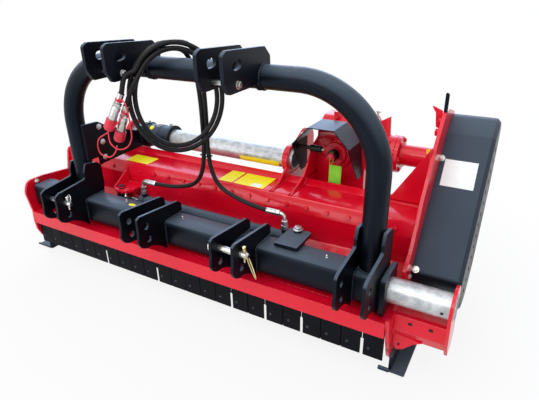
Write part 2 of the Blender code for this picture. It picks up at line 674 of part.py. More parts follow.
boss_ring = plate("boss_tool", circle((REAR_TUBE_Y, REAR_TUBE_Z), 54, 20), SUPPORT_LEFT_X - 16,
                  SUPPORT_LEFT_X + 1, RED, holes=[support_hole], tool=True)
boolean(support_left, boss_ring, "UNION")

# Gearbox: a cast housing with a foot on the deck, a boss round the input and one at the output
GEARBOX_LEFT = SUPPORT_RIGHT_X + SUPPORT_SHEET + GAP
GEARBOX_RIGHT = PTO_X + 208.7
GEARBOX_FRONT = 552.0
GEARBOX_BACK = 748.0
GEARBOX_TOP = 362.0
foot_seat = [Vector(point) for point in surface_between(deck_seat, GEARBOX_FRONT + 4, 622)]
body_outline = foot_seat + rounded([(640, 132, 6), (GEARBOX_BACK, 142, 20),
                                    (GEARBOX_BACK, 320, 40), (690, GEARBOX_TOP, 40),
                                    (610, GEARBOX_TOP, 40), (GEARBOX_FRONT, 320, 30),
                                    (GEARBOX_FRONT, 120, 8)], closed=False)
gearbox = plate("gearbox", body_outline, GEARBOX_LEFT, PTO_X + 115, RED)
neck = turned("neck_tool", [(PTO_X + 95, 0), (PTO_X + 95, 88), (PTO_X + 145, 82),
                            (GEARBOX_RIGHT - 17.7, 62), (GEARBOX_RIGHT - 17.7, 70),
                            (GEARBOX_RIGHT, 70), (GEARBOX_RIGHT, 0)],
              (0, OUTPUT_Y, OUTPUT_Z), RED, sides=20, tool=True)
boolean(gearbox, neck, "UNION")
PTO_SHAFT = 17.5
input_boss = turned("input_boss_tool", [(GEARBOX_FRONT - 16, 0), (GEARBOX_FRONT - 16, 44),
                                        (GEARBOX_FRONT - 6, 46), (GEARBOX_FRONT - 6, 62),
                                        (GEARBOX_FRONT + 4, 62), (GEARBOX_FRONT + 4, 0)],
                    (PTO_X, 0, PTO_Z), RED, axis="Y", sides=24, tool=True)
boolean(gearbox, input_boss, "UNION")
input_bore = plate("input_bore_tool", hole((PTO_X, PTO_Z), PTO_SHAFT + 1, 24),
                   GEARBOX_FRONT - 30, GEARBOX_FRONT + 30, RED, plane="XZ", tool=True)
boolean(gearbox, input_bore, "DIFFERENCE")
rib = plate("rib_tool", [(585, GEARBOX_TOP - 5), (585, GEARBOX_TOP + 22), (640, GEARBOX_TOP + 22),
                         (690, GEARBOX_TOP - 5)], PTO_X - 29, PTO_X - 15, RED, tool=True)
boolean(gearbox, rib, "UNION")

# Splined stub that the tractor drives
spline = []
for index in range(24):
    reach = PTO_SHAFT if index % 4 in (0, 1) else PTO_SHAFT - 2.6
    angle = 2 * math.pi * (index + 0.5) / 24
    spline.append((reach * math.cos(angle), reach * math.sin(angle)))
stub_mesh = extruded_mesh("pto_shaft", spline, [], GEARBOX_FRONT + 26 - PTO_TIP_Y)
add("pto_shaft", stub_mesh, SILVER, (PTO_X, (GEARBOX_FRONT + 26 + PTO_TIP_Y) / 2, PTO_Z),
    PLANES["XZ"])

# Output housing between the gearbox and the right side plate
turned("output_housing", [(GEARBOX_RIGHT + GAP, SHAFT + 3), (GEARBOX_RIGHT + GAP, 70),
                          (GEARBOX_RIGHT + 17, 70), (GEARBOX_RIGHT + 17, 44),
                          (GEARBOX_RIGHT + 28, 40), (RIGHT_INNER_X - 14, 40),
                          (RIGHT_INNER_X - 14, 60), (RIGHT_INNER_X - GAP, 60),
                          (RIGHT_INNER_X - GAP, SHAFT + 3)],
       (0, OUTPUT_Y, OUTPUT_Z), RED, sides=20)

# Folded guard over the stub, with its lower front corners cut back
SHIELD_FRONT = 420.0
SHIELD_BACK = GEARBOX_FRONT - GAP
SHIELD_SHEET = 4.0
shield_path = [(-127, 159), (-127, 290), (-62, 360), (38, 360), (98, 298), (108, 159)]
shield = folded("pto_shield", [(PTO_X + x, z) for x, z in shield_path],
                -SHIELD_BACK, -SHIELD_FRONT, SHIELD_SHEET, BLACK, plane="XZ", grow=-1)
corner_cut = plate("shield_cut_tool", [(SHIELD_FRONT - 20, 319), (SHIELD_FRONT - 20, 143),
                                       (SHIELD_FRONT + 90, 143)], PTO_X - 155, PTO_X + 130,
                   BLACK, tool=True)
boolean(shield, corner_cut, "DIFFERENCE")

# Belt cover: a leaning housing open towards the side plate, with a column of slots
COVER_LEFT = RIGHT_INNER_X + SIDE_PLATE + GAP
COVER_RIGHT = COVER_LEFT + COVER_WIDTH
cover_outline = rounded([(610, 350, 16), (700, 402, 40), (775, 352, 60), (760, 130, 120),
                         (620, -150, 90), (500, -232, 80), (380, -215, 80), (290, -60, 30),
                         (292, -35, 20)])
turning = sum(a.x * b.y - b.x * a.y for a, b in zip(cover_outline, cover_outline[1:]))
inward = 1 if turning > 0 else -1
bend_inner = COVER_BEND + (math.sqrt(2) - 1) * COVER_WALL
cover = stepped("belt_cover", [(COVER_LEFT, cover_outline), (COVER_RIGHT - COVER_BEND, cover_outline),
                               (COVER_RIGHT, offset(cover_outline, inward * COVER_BEND, True))],
                BLACK)
cover_inner = offset(cover_outline, inward * COVER_WALL, True)
cover_room = stepped("cover_room_tool",
                     [(COVER_LEFT - 10, cover_inner), (COVER_RIGHT - bend_inner, cover_inner),
                      (COVER_RIGHT - COVER_WALL, offset(cover_outline, inward * bend_inner, True))],
                     BLACK, tool=True)
boolean(cover, cover_room, "DIFFERENCE")
lean = math.atan2(350 + 35, 610 - 292)
lowest_slot = Vector((418, -141))
highest_slot = Vector((675, 291))
for index in range(COVER_SLOTS):
    middle = lowest_slot.lerp(highest_slot, index / (COVER_SLOTS - 1))
    slot_tool = plate(f"slot_tool_{index + 1}", slot(middle, 5, 46, lean - math.pi / 2, 4),
                      COVER_RIGHT - 12, COVER_RIGHT + 8, BLACK, tool=True)
    boolean(cover, slot_tool, "DIFFERENCE")

# Belt drive inside the cover: pulley and shaft in one, lower pulley on the rotor's end
groove = 5.0
upper_profile = [(GEARBOX_RIGHT + 2, 0), (GEARBOX_RIGHT + 2, SHAFT), (PULLEY_X, SHAFT),
                 (PULLEY_X, UPPER_PULLEY), (PULLEY_X + PULLEY_WIDTH, UPPER_PULLEY),
                 (PULLEY_X + PULLEY_WIDTH, 0)]
turned("upper_pulley", upper_profile, (0, OUTPUT_Y, OUTPUT_Z), ZINC, sides=28)
lower_end = PULLEY_X + PULLEY_WIDTH
span = Vector((OUTPUT_Y - ROTOR_Y, OUTPUT_Z - ROTOR_Z))
tilt = math.atan2(span.y, span.x)
wrap = math.asin((UPPER_PULLEY - LOWER_PULLEY) / span.length)


def belt_loop(extra):
    top = circle((OUTPUT_Y, OUTPUT_Z), UPPER_PULLEY + extra, 20, tilt - math.pi / 2 - wrap,
                 math.pi + 2 * wrap)
    low = circle((ROTOR_Y, ROTOR_Z), LOWER_PULLEY + extra, 16, tilt + math.pi / 2 + wrap,
                 math.pi - 2 * wrap)
    return top + low


plate("belt", belt_loop(1.0 + BELT), PULLEY_X + 3, lower_end - 3, RUBBER,
      holes=[belt_loop(1.0)])

# Rotor: tube with lugs and hammers in a helical pattern, and the lower pulley on its end
ROTOR_LEFT = LEFT_INNER_X + 8
ROTOR_RIGHT = RIGHT_INNER_X - 8
rotor = turned("rotor", [(LEFT_INNER_X - SIDE_PLATE - 20, 0),
                         (LEFT_INNER_X - SIDE_PLATE - 20, SHAFT), (ROTOR_LEFT, SHAFT),
                         (ROTOR_LEFT, ROTOR_TUBE), (ROTOR_RIGHT, ROTOR_TUBE),
                         (ROTOR_RIGHT, SHAFT), (PULLEY_X, SHAFT), (PULLEY_X, LOWER_PULLEY),
                         (lower_end, LOWER_PULLEY), (lower_end, 0)],
               (0, ROTOR_Y, ROTOR_Z), BLACK, sides=24)
hammer = [(ROTOR_TUBE - 4, -12), (98, -11), (128, -24), (HAMMER_SWING - 4, -34),
          (HAMMER_SWING, -2), (140, 8), (112, 12), (ROTOR_TUBE - 4, 14)]
HAMMER_WIDTH = 62.0
hammer_mesh = extruded_mesh("hammer", hammer, [], HAMMER_WIDTH)
step_x = (ROTOR_RIGHT - ROTOR_LEFT) / HAMMER_COUNT
bm = bmesh.new()
for index in range(HAMMER_COUNT):
    one = bmesh.new()
    one.from_mesh(hammer_mesh)
    angle = math.radians(90 * (index % 4) + 30 * (index // 4 % 3))
    bmesh.ops.rotate(one, verts=one.verts, cent=(0, 0, 0),
                     matrix=Matrix.Rotation(angle, 3, "Z"))
    bmesh.ops.translate(one, verts=one.verts,
                        vec=(0, 0, (ROTOR_LEFT + step_x * (index + 0.5)) * MM))
    copy = bpy.data.meshes.new("hammer_copy")
    one.to_mesh(copy)
    one.free()
    bm.from_mesh(copy)
    bpy.data.meshes.remove(copy)
bpy.data.meshes.remove(hammer_mesh)
hammers = add("hammers_tool", clean_mesh("hammers_tool", bm), BLACK, (0, ROTOR_Y, ROTOR_Z),
              PLANES["YZ"], tool=True)
boolean(rotor, hammers, "UNION")

# Rear roller between two brackets, and the flap along the hood's rear edge
bracket_plate = rounded([(560, -160, 20), (588, -132, 10), (672, -132, 20), (748, -215, 20),
                         (748, -262, 30), (712, -296, 30), (640, -275, 30), (575, -215, 20)])
stub_hole = hole((ROLLER_Y, GROUND_Z + ROLLER), ROLLER_STUB + 0.6, 20)
plate("roller_bracket_left", bracket_plate, LEFT_INNER_X + GAP, LEFT_INNER_X + GAP + BRACKET,
      RED, holes=[stub_hole])
plate("roller_bracket_right", bracket_plate, RIGHT_INNER_X - GAP - BRACKET,
      RIGHT_INNER_X - GAP, RED, holes=[stub_hole])
roller_left = LEFT_INNER_X + BRACKET + 4
roller_right = RIGHT_INNER_X - BRACKET - 4
turned("rear_roller", [(LEFT_INNER_X + 2, 0), (LEFT_INNER_X + 2, ROLLER_STUB),
                       (roller_left, ROLLER_STUB), (roller_left, ROLLER),
                       (roller_right, ROLLER), (roller_right, ROLLER_STUB),
                       (RIGHT_INNER_X - 2, ROLLER_STUB), (RIGHT_INNER_X - 2, 0)],
       (0, ROLLER_Y, GROUND_Z + ROLLER), BLACK, sides=28)
hood_edge = surface_between(deck_seat, 655, 690)
rear_flap_path = [Vector(point) for point in hood_edge] + [Vector((684, -160))]
folded("rear_flap", rear_flap_path, LEFT_INNER_X + 14, RIGHT_INNER_X - 14, 4.0, RUBBER, grow=1)

# Side shift cylinder: the rod stands still on the deck, the barrel goes with the headstock
barrel = turned("cylinder_barrel",
                [(BARREL_RIGHT + 14, 0), (BARREL_RIGHT + 14, 24), (BARREL_RIGHT, BARREL),
                 (BARREL_LEFT + 26, BARREL), (BARREL_LEFT + 24, 31), (BARREL_LEFT, 31),
                 (BARREL_LEFT, ROD + 0.7), (BARREL_LEFT + 22, ROD + 0.7),
                 (BARREL_LEFT + 22, BARREL_BORE), (BARREL_RIGHT - 6, BARREL_BORE),
                 (BARREL_RIGHT - 6, 0)],
                (0, CYLINDER_Y, CYLINDER_Z), BLACK, sides=20)
eye_hole = hole((BARREL_EYE_X, CYLINDER_Y), EYE_PIN + 0.4, 12)
barrel_eye = plate("barrel_eye_tool", circle((BARREL_EYE_X, CYLINDER_Y), EYE, 20),
                   CYLINDER_Z - EYE + 2, CYLINDER_Z + EYE - 2, BLACK, plane="XY",
                   holes=[eye_hole], tool=True)
boolean(barrel, barrel_eye, "UNION")

# Port bosses and elbows on top of the barrel; the hoses start at the elbows' mouths
PORT_LEFT_X = BARREL_LEFT + 20
PORT_RIGHT_X = BARREL_RIGHT - 16
ELBOW_TOP_Z = 102.0
ELBOW_REACH = 34.0
ELBOW = 7.0
for name, port_x, sign in (("left", PORT_LEFT_X, 1), ("right", PORT_RIGHT_X, -1)):
    port = turned(f"port_{name}_tool", [(CYLINDER_Z + BARREL - 4, 0), (CYLINDER_Z + BARREL - 4, 12),
                                        (CYLINDER_Z + BARREL + 14, 12),
                                        (CYLINDER_Z + BARREL + 14, 0)],
                  (port_x, CYLINDER_Y, 0), BLACK, axis="Z", sides=11, tool=True)
    boolean(barrel, port, "UNION")
    pipe = [(port_x, CYLINDER_Y, CYLINDER_Z + BARREL + 3)]
    for step in range(5):
        angle = math.pi / 2 * step / 4
        pipe.append((port_x + sign * 14 * (1 - math.cos(angle)), CYLINDER_Y,
                     ELBOW_TOP_Z - 14 + 14 * math.sin(angle)))
    pipe.append((port_x + sign * ELBOW_REACH, CYLINDER_Y, ELBOW_TOP_Z))
    elbow = swept(f"elbow_{name}_tool", pipe, ELBOW, ZINC, resolution=2, tool=True)
    boolean(barrel, elbow, "UNION")

# Rod with its piston and eye, and the bracket that holds the eye's pin on the deck
rod = turned("cylinder_rod", [(ROD_EYE_X + EYE - 6, 0), (ROD_EYE_X + EYE - 6, ROD),
                              (BARREL_RIGHT - 40, ROD), (BARREL_RIGHT - 40, BARREL_BORE - 0.6),
                              (BARREL_RIGHT - 12, BARREL_BORE - 0.6), (BARREL_RIGHT - 12, 0)],
             (0, CYLINDER_Y, CYLINDER_Z), SILVER, sides=20)
rod_eye = plate("rod_eye_tool", circle((ROD_EYE_X, CYLINDER_Y), EYE, 20), CYLINDER_Z - EYE + 4,
                CYLINDER_Z + EYE - 4, SILVER, plane="XY",
                holes=[hole((ROD_EYE_X, CYLINDER_Y), EYE_PIN + 0.4, 12)], tool=True)
boolean(rod, rod_eye, "UNION")
lug_top = CYLINDER_Z + EYE + 16
lug_low = CYLINDER_Z - EYE - 12
panel_y = 305.0
bracket_top = rounded([(ROD_EYE_X - 38, panel_y), (ROD_EYE_X - 34, 205, 22),
                       (ROD_EYE_X + 34, 198, 22), (ROD_EYE_X + 60, 230, 20),
                       (ROD_EYE_X + 60, panel_y)])
rod_bracket = plate("rod_bracket", bracket_top, lug_top - 10, lug_top, RED, plane="XY")
web = plate("bracket_web_tool", [(252, lug_low + 10), (262, lug_low), (262, lug_top - 5),
                                 (252, lug_top - 5)], ROD_EYE_X - 34, ROD_EYE_X + 34, RED,
            tool=True)
boolean(rod_bracket, web, "UNION")
floor = plate("bracket_floor_tool", rounded([(ROD_EYE_X - 34, 261), (ROD_EYE_X - 34, 202, 20),
                                             (ROD_EYE_X + 34, 202, 20),
                                             (ROD_EYE_X + 34, 261)]),
              lug_low, lug_low + 8, RED, plane="XY", tool=True)
boolean(rod_bracket, floor, "UNION")
eye_pin = turned("bracket_pin_tool", [(lug_low - 4, 0), (lug_low - 4, EYE_PIN), (lug_top - 1, EYE_PIN),
                                      (lug_top - 1, 14), (lug_top + 8, 14), (lug_top + 8, 0)],
                 (ROD_EYE_X, CYLINDER_Y, 0), RED, axis="Z", sides=12, tool=True)
boolean(rod_bracket, eye_pin, "UNION")

# Hoses: from each elbow up behind the arch, then a turn and a half of loops round its top tube.
# A loop lies in an upright plane turned from the machine's length, and each hose keeps its own
# size of loop and moves sideways as it winds, so that no turn touches another
LOOP_CENTRE = Vector((611, 120, 495))
LOOP_TURN = math.radians(48.7)
LOOP_HALF_WIDTH = 133.0
LOOP_HALF_HEIGHT = 160.0
LOOP_STEP = 17.8
loop_along = Vector((math.cos(LOOP_TURN), math.sin(LOOP_TURN), 0))
loop_side = Vector((math.sin(LOOP_TURN), -math.cos(LOOP_TURN), 0))


def hose_loop(order, start, end):
    """Loop points of hose 0 or 1 between two angles, in degrees from the loop's right side."""
    points = []
    steps = round((end - start) / 15)
    for step in range(steps + 1):
        degrees = start + (end - start) * step / steps
        angle = math.radians(degrees)
        shift = LOOP_STEP * ((degrees - start) / 360 - 0.55)
        grow = LOOP_STEP * order
        points.append(LOOP_CENTRE + loop_side * shift
                      + loop_along * (LOOP_HALF_WIDTH + grow) * math.cos(angle)
                      + Vector((0, 0, LOOP_HALF_HEIGHT + grow)) * math.sin(angle))
    return points


COUPLER_LENGTH = 74.0
hose_routes = (
    ([(PORT_LEFT_X + ELBOW_REACH + GAP, CYLINDER_Y, ELBOW_TOP_Z),
      (PORT_LEFT_X + ELBOW_REACH + 40, CYLINDER_Y, ELBOW_TOP_Z), (470, 225, 112),
      (560, 225, 142), (604, 225, 200), (621, 225, 286), (624, 225, 380), (622, 226, 470),
      (617, 222, 545), (609, 206, 605), (600, 178, 642)],
     [(533, 4, 545), (512, -10, 491)], Vector((-0.42, -0.01, -0.90))),
    ([(PORT_RIGHT_X - ELBOW_REACH - GAP, CYLINDER_Y, ELBOW_TOP_Z),
      (PORT_RIGHT_X - ELBOW_REACH - 40, CYLINDER_Y, ELBOW_TOP_Z), (780, 225, 116),
      (690, 225, 150), (652, 225, 205), (640, 225, 286), (642, 225, 380), (641, 227, 470),
      (637, 226, 550), (629, 214, 618), (617, 184, 662)],
     [(521, -9, 580), (511, -22, 532)], Vector((-0.46, -0.14, -0.87))),
)
for order, (lead, tail, hang) in enumerate(hose_routes):
    letter = "ab"[order]
    hang = hang.normalized()
    stops = [Vector(stop) for stop in lead] + hose_loop(order, 100, 505)
    stops += [Vector(stop) for stop in tail]
    stops.append(stops[-1] + hang * 24)
    route = smooth_route(stops, HOSE_POINTS)
    swept(f"hose_{letter}", route, HOSE, RUBBER, resolution=2)
    least = min((one - two).length - 2 * HOSE for index, one in enumerate(route)
                for two in route[index + 6:])
    print(f"hose_{letter}: least gap to itself {least:.2f} mm")
    mouth = route[-1] + hang * GAP
    coupler = turned(f"coupler_{letter}", [(0, 0), (0, 9), (10, 9), (10, 12), (22, 12), (24, 14),
                                           (COUPLER_LENGTH, 14), (COUPLER_LENGTH, 18),
                                           (COUPLER_LENGTH + 34, 18), (COUPLER_LENGTH + 38, 14),
                                           (COUPLER_LENGTH + 38, 0)],
                     mouth, ZINC, axis="Z", sides=14)
    coupler.rotation_euler = hang.to_track_quat("Z", "Y").to_euler()
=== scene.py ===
"""Side-shift hammer knife mower for a tractor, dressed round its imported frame.

The sections follow the machine as it is put together: view and light, the red welded body, its deck
bolts and plates, the black headstock with its arch, pins, cylinder and hoses, the drive, and the
cutting side.  Places are written in millimetres, as on the drawing: X runs from the first link plate
to the belt side, Y goes back from the tractor, and Z is 0 at 320 mm above the floor.
"""

import math

import bmesh
import bpy
from mathutils import Matrix, Vector


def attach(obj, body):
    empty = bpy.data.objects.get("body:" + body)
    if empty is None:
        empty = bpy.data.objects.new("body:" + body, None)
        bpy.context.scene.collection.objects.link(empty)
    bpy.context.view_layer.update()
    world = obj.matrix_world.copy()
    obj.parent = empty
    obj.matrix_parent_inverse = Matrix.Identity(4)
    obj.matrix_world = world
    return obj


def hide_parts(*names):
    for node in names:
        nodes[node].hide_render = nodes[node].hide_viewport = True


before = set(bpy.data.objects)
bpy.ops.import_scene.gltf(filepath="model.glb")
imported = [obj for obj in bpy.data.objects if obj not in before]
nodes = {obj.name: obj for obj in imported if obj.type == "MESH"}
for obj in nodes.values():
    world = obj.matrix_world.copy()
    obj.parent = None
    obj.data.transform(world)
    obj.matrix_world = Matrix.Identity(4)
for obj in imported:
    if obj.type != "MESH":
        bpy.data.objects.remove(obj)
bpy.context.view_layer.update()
scene = bpy.context.scene


# The view: from chest height in front of the machine's belt side, looking down at it.  The lens is
# that of a phone, and the picture is level to about a degree.
ORIGIN_X, ORIGIN_Y, ORIGIN_Z = -600.5, -355.0, 320.0   # the drawing's origin in the frame
STANDS_AT = (1641.4, -1065.6, 845.2)
TURNED_LEFT, LOOKS_DOWN, LEANS = 30.14, 25.167, -1.235   # degrees
FOCAL_PIXELS, PICTURE_PIXELS = 470.69, 539.0
SENSOR_WIDTH = 36.0


def here(x, y, z):
    """A place on the drawing, in millimetres, as a point in the frame, in metres."""
    return Vector((x + ORIGIN_X, y + ORIGIN_Y, z + ORIGIN_Z)) / 1000


def placed(name, data):
    """A new object in the scene."""
    made = bpy.data.objects.new(name, data)
    scene.collection.objects.link(made)
    return made


camera_data = bpy.data.cameras.new("camera")
camera_data.sensor_width = SENSOR_WIDTH
camera_data.lens = FOCAL_PIXELS * SENSOR_WIDTH / PICTURE_PIXELS
camera = placed("camera", camera_data)
look = (Matrix.Rotation(math.radians(TURNED_LEFT), 4, "Z")
        @ Matrix.Rotation(math.radians(90 - LOOKS_DOWN), 4, "X")
        @ Matrix.Rotation(math.radians(LEANS), 4, "Z"))
camera.matrix_world = Matrix.Translation(here(*STANDS_AT)) @ look
scene.camera = camera


# A pale floor of painted board under a white sky and soft panels.  The sky gives the pale bevels on
# the black paint and, with a painted sheen, its pale tops; the floor keeps the shadow under the skids.
SKY_LIGHT = 0.6                     # strength that lights the machine; rays that see the sky get 1
SHADOW_END, WHITE_FROM = 0.9, 1.7   # metres from the middle of the floor
SHADOW_WHITE = 0.86                 # how much plain white is mixed in where the shadow lies
FLOOR_REACH = 14.0
PANELS = (   # name, place and target in metres, width and height in metres, watts, colour
    ("ceiling_panel", (0.2, -1.0, 3.4), (0.1, 0.0, 0.4), 3.0, 2.4, 30, "FFFFFF"),
    ("front_panel", (-0.6, -2.9, 2.9), (0.0, 0.0, 0.45), 3.2, 1.6, 62, "FFFFFF"),
    ("horizon_panel", (-1.7, -3.4, 0.6), (0.0, 0.0, 0.45), 2.6, 0.9, 18, "FFFFFF"),
    ("right_panel", (3.4, -1.6, 1.9), (0.2, 0.0, 0.4), 1.6, 1.6, 14, "FFFFFF"),
    ("blue_sky_panel", (-1.6, 3.1, 2.3), (0.0, 0.0, 0.4), 5.2, 2.2, 110, "B4D0FF"))


def linear(colour):
    """An sRGB hex colour as the linear numbers that Blender's sockets hold."""
    parts = [int(colour[index:index + 2], 16) / 255 for index in (0, 2, 4)]
    return tuple(part / 12.92 if part <= 0.04045 else ((part + 0.055) / 1.055) ** 2.4
                 for part in parts) + (1.0,)


def fill(tree, made, links):
    """Link a node's sockets to other sockets or to a node's first output, or give them a value."""
    for socket, value in links.items():
        if isinstance(value, bpy.types.Node):
            value = value.outputs[0]
        if isinstance(value, bpy.types.NodeSocket):
            tree.links.new(value, made.inputs[socket])
        else:
            made.inputs[socket].default_value = value


def node(tree, kind, links=None, **settings):
    """Add one node with its settings and links."""
    made = tree.nodes.new(kind)
    for name, value in settings.items():
        setattr(made, name, value)
    fill(tree, made, links or {})
    return made


def background_rays(tree):
    """1 for the rays that should see a plain white background: camera, mirror and glass rays."""
    rays = node(tree, "ShaderNodeLightPath").outputs
    first = node(tree, "ShaderNodeMath", {0: rays["Is Camera Ray"], 1: rays["Is Glossy Ray"]},
                 operation="MAXIMUM")
    return node(tree, "ShaderNodeMath", {0: first, 1: rays["Is Transmission Ray"]},
                operation="MAXIMUM")


world = bpy.data.worlds.new("white_sky")
world.use_nodes = True
scene.world = world
sky = world.node_tree
bright = node(sky, "ShaderNodeMix", {"Factor": background_rays(sky), "A": SKY_LIGHT, "B": 1.0},
              data_type="FLOAT")
fill(sky, sky.nodes["Background"], {"Color": linear("FFFFFF"), "Strength": bright})

board = bpy.data.materials.new("white_board")
board.use_nodes = True
tree = board.node_tree
paint = tree.nodes["Principled BSDF"]
fill(tree, paint, {"Base Color": linear("DCDCDC"), "Roughness": 0.9})
white = node(tree, "ShaderNodeEmission", {"Color": linear("FFFFFF"), "Strength": 1.0})
place = node(tree, "ShaderNodeTexCoord").outputs["Object"]
distance = node(tree, "ShaderNodeVectorMath", {0: place}, operation="LENGTH").outputs["Value"]
fade = node(tree, "ShaderNodeMapRange",
            {"Value": distance, "From Min": SHADOW_END, "From Max": WHITE_FROM,
             "To Min": SHADOW_WHITE, "To Max": 1.0})
share = node(tree, "ShaderNodeMath", {0: fade, 1: background_rays(tree)}, operation="MULTIPLY")
mixed = node(tree, "ShaderNodeMixShader", {0: share, 1: paint, 2: white})
fill(tree, tree.nodes["Material Output"], {"Surface": mixed})
floor_mesh = bpy.data.meshes.new("floor")
floor_mesh.from_pydata([(x * FLOOR_REACH, y * FLOOR_REACH, 0)
                        for x, y in ((-1, -1), (1, -1), (1, 1), (-1, 1))], [], [(0, 1, 2, 3)])
floor_mesh.materials.append(board)
floor = placed("floor", floor_mesh)

for name, place, target, width, height, power, colour in PANELS:
    lamp = bpy.data.lights.new(name, "AREA")
    lamp.shape = "RECTANGLE"
    lamp.size = width
    lamp.size_y = height
    lamp.energy = power
    lamp.color = linear(colour)[:3]
    stand = placed(name, lamp)
    stand.location = place
    stand.rotation_euler = (Vector(place) - Vector(target)).to_track_quat("Z", "Y").to_euler()
scene.view_settings.view_transform = "Standard"


# The welded body: side plates, folded deck, front bar, outrigger and gearbox supports, cut from
# steel plate, welded, and powder-coated red.  The coat is even and very glossy, with the faint
# orange peel of a cured powder.  The peel is drawn at 9 mm, coarser than the real 3 mm.
PATCH_ENDS = (0.35, 0.65)      # the noise values at which one patch's look ends and the next begins
RELIEF_STRENGTH = 0.25
SHARPEST = math.radians(32)    # an edge between faces that differ more than this stays sharp
FRAME_SEAM = 0.00002           # metres; corners of the frame's triangles that are nearer are one


def surface(name, colours, roughness, patch, grain, depth, metallic=0.0):
    """A finish whose colour and sheen drift in patches over a fine relief, with sizes in mm."""
    material = bpy.data.materials.new(name)
    material.use_nodes = True
    tree = material.node_tree
    place = node(tree, "ShaderNodeTexCoord").outputs["Object"]
    drift = node(tree, "ShaderNodeTexNoise", {"Vector": place, "Scale": 1000 / patch, "Detail": 4.0})
    shade = node(tree, "ShaderNodeValToRGB", {"Fac": drift})
    for stop, position, colour in zip(shade.color_ramp.elements, PATCH_ENDS, colours):
        stop.position = position
        stop.color = linear(colour)
    sheen = node(tree, "ShaderNodeMapRange",
                 {"Value": drift, "From Min": PATCH_ENDS[0], "From Max": PATCH_ENDS[1],
                  "To Min": roughness[0], "To Max": roughness[1]})
    fine = node(tree, "ShaderNodeTexNoise", {"Vector": place, "Scale": 1000 / grain, "Detail": 1.0})
    relief = node(tree, "ShaderNodeBump",
                  {"Height": fine, "Strength": RELIEF_STRENGTH, "Distance": depth / 1000})
    fill(tree, tree.nodes["Principled BSDF"],
         {"Base Color": shade, "Roughness": sheen, "Normal": relief, "Metallic": metallic})
    return material


def gloss(material, specular, coat=0.0):
    """Set how strongly a paint mirrors, and the weight of its smooth clear top layer."""
    tree = material.node_tree
    fill(tree, tree.nodes["Principled BSDF"],
         {"Specular IOR Level": specular, "Coat Weight": coat, "Coat Roughness": 0.05})


red = surface("red_powder_coat", ("D60622", "DE0E2E"), (0.2, 0.3), 260, 9, 0.25)
gloss(red, 0.28, 0.28)

# A tree that joins the loose triangles of a node of the frame and smooths all but its sharp edges
paint_shop = bpy.data.node_groups.new("paint_shop", "GeometryNodeTree")
paint_shop.interface.new_socket("Geometry", in_out="INPUT", socket_type="NodeSocketGeometry")
limit = paint_shop.interface.new_socket("Sharpest", in_out="INPUT", socket_type="NodeSocketFloat")
limit.default_value = SHARPEST
paint_shop.interface.new_socket("Geometry", in_out="OUTPUT", socket_type="NodeSocketGeometry")
start = node(paint_shop, "NodeGroupInput").outputs
joined = node(paint_shop, "GeometryNodeMergeByDistance",
              {"Geometry": start["Geometry"], "Distance": FRAME_SEAM})
angle = node(paint_shop, "GeometryNodeInputMeshEdgeAngle").outputs["Unsigned Angle"]
gentle = node(paint_shop, "FunctionNodeCompare", {"A": angle, "B": start["Sharpest"]},
              operation="LESS_EQUAL")
faces = node(paint_shop, "GeometryNodeSetShadeSmooth", {"Geometry": joined}, domain="FACE")
edges = node(paint_shop, "GeometryNodeSetShadeSmooth",
             {"Geometry": faces, "Shade Smooth": gentle}, domain="EDGE")
node(paint_shop, "NodeGroupOutput", {"Geometry": edges})


def soften(part, width, angle=40):
    """Round the sharp edges of a part by a width in millimetres, as paint and grinding do."""
    rounded = part.modifiers.new("rounded", "BEVEL")
    rounded.width = width / 1000
    rounded.segments = 2
    rounded.limit_method = "ANGLE"
    rounded.angle_limit = math.radians(angle)
    rounded.harden_normals = True


def dress(names, material, edge=1.2):
    """Give nodes of the frame that keep their shape a finish and softened edges."""
    for name in names:
        part = nodes[name]
        part.data.materials.clear()
        part.data.materials.append(material)
        joined = part.modifiers.new("joined", "NODES")
        joined.node_group = paint_shop
        soften(part, edge)


dress(("deck", "side_plate_left", "side_plate_right", "front_bar", "outrigger_channel",
       "tube_end_plate", "rear_tube_bracket", "gearbox_support_left", "gearbox_support_right",
       "roller_bracket_left", "roller_bracket_right", "rod_bracket"), red)


# Small rolled and welded extras of the red body: the ring round the left end of the slide tube, the
# pad under the cylinder's bracket, the lug under the outrigger, and a bent hook behind the belt side.
RIGHT, BACK, UP = (1, 0, 0), (0, 1, 0), (0, 0, 1)
LEFT_SIDE, RIGHT_SIDE = -256, 1376   # inner faces of the side plates
TUBE_Y, TUBE_Z = 139, -20            # axis of the front slide tube
CORNER_SHARE = 0.48                  # the most of a side that one rounded corner may take up
PIECE_SEAM = 0.000005                # metres; points of a piece that are nearer are one
RED_BODY = (red, "frame", "red_paint")


def bent(corners, size, closed=False, steps=6):
    """A run of points of one size, rounded at each corner that has a radius after its numbers."""
    run = []
    count = len(corners)
    for index, corner in enumerate(corners):
        point = Vector(corner[:size])
        if len(corner) == size or (not closed and index in (0, count - 1)):
            run.append(point)
            continue
        before = Vector(corners[index - 1][:size]) - point
        after = Vector(corners[(index + 1) % count][:size]) - point
        half = before.angle(after) / 2
        length = min(corner[size] / math.tan(half), CORNER_SHARE * min(before.length, after.length))
        before.normalize()
        after.normalize()
        centre = point + (before + after).normalized() * length / math.cos(half)
        first = point + before * length - centre
        last = point + after * length - centre
        turn = first.angle(last)
        for step in range(steps + 1):
            share = step / steps
            spoke = first * math.sin((1 - share) * turn) + last * math.sin(share * turn)
            run.append(centre + spoke / math.sin(turn))
    return run


def ring(middle, radius, count=24, start=0.0, sweep=360.0):
    """Points round a flat circle; a full turn doesn't repeat its first point."""
    steps = count if sweep >= 360 else count + 1
    turns = [math.radians(start + sweep * step / count) for step in range(steps)]
    return [(middle[0] + radius * math.cos(turn), middle[1] + radius * math.sin(turn))
            for turn in turns]


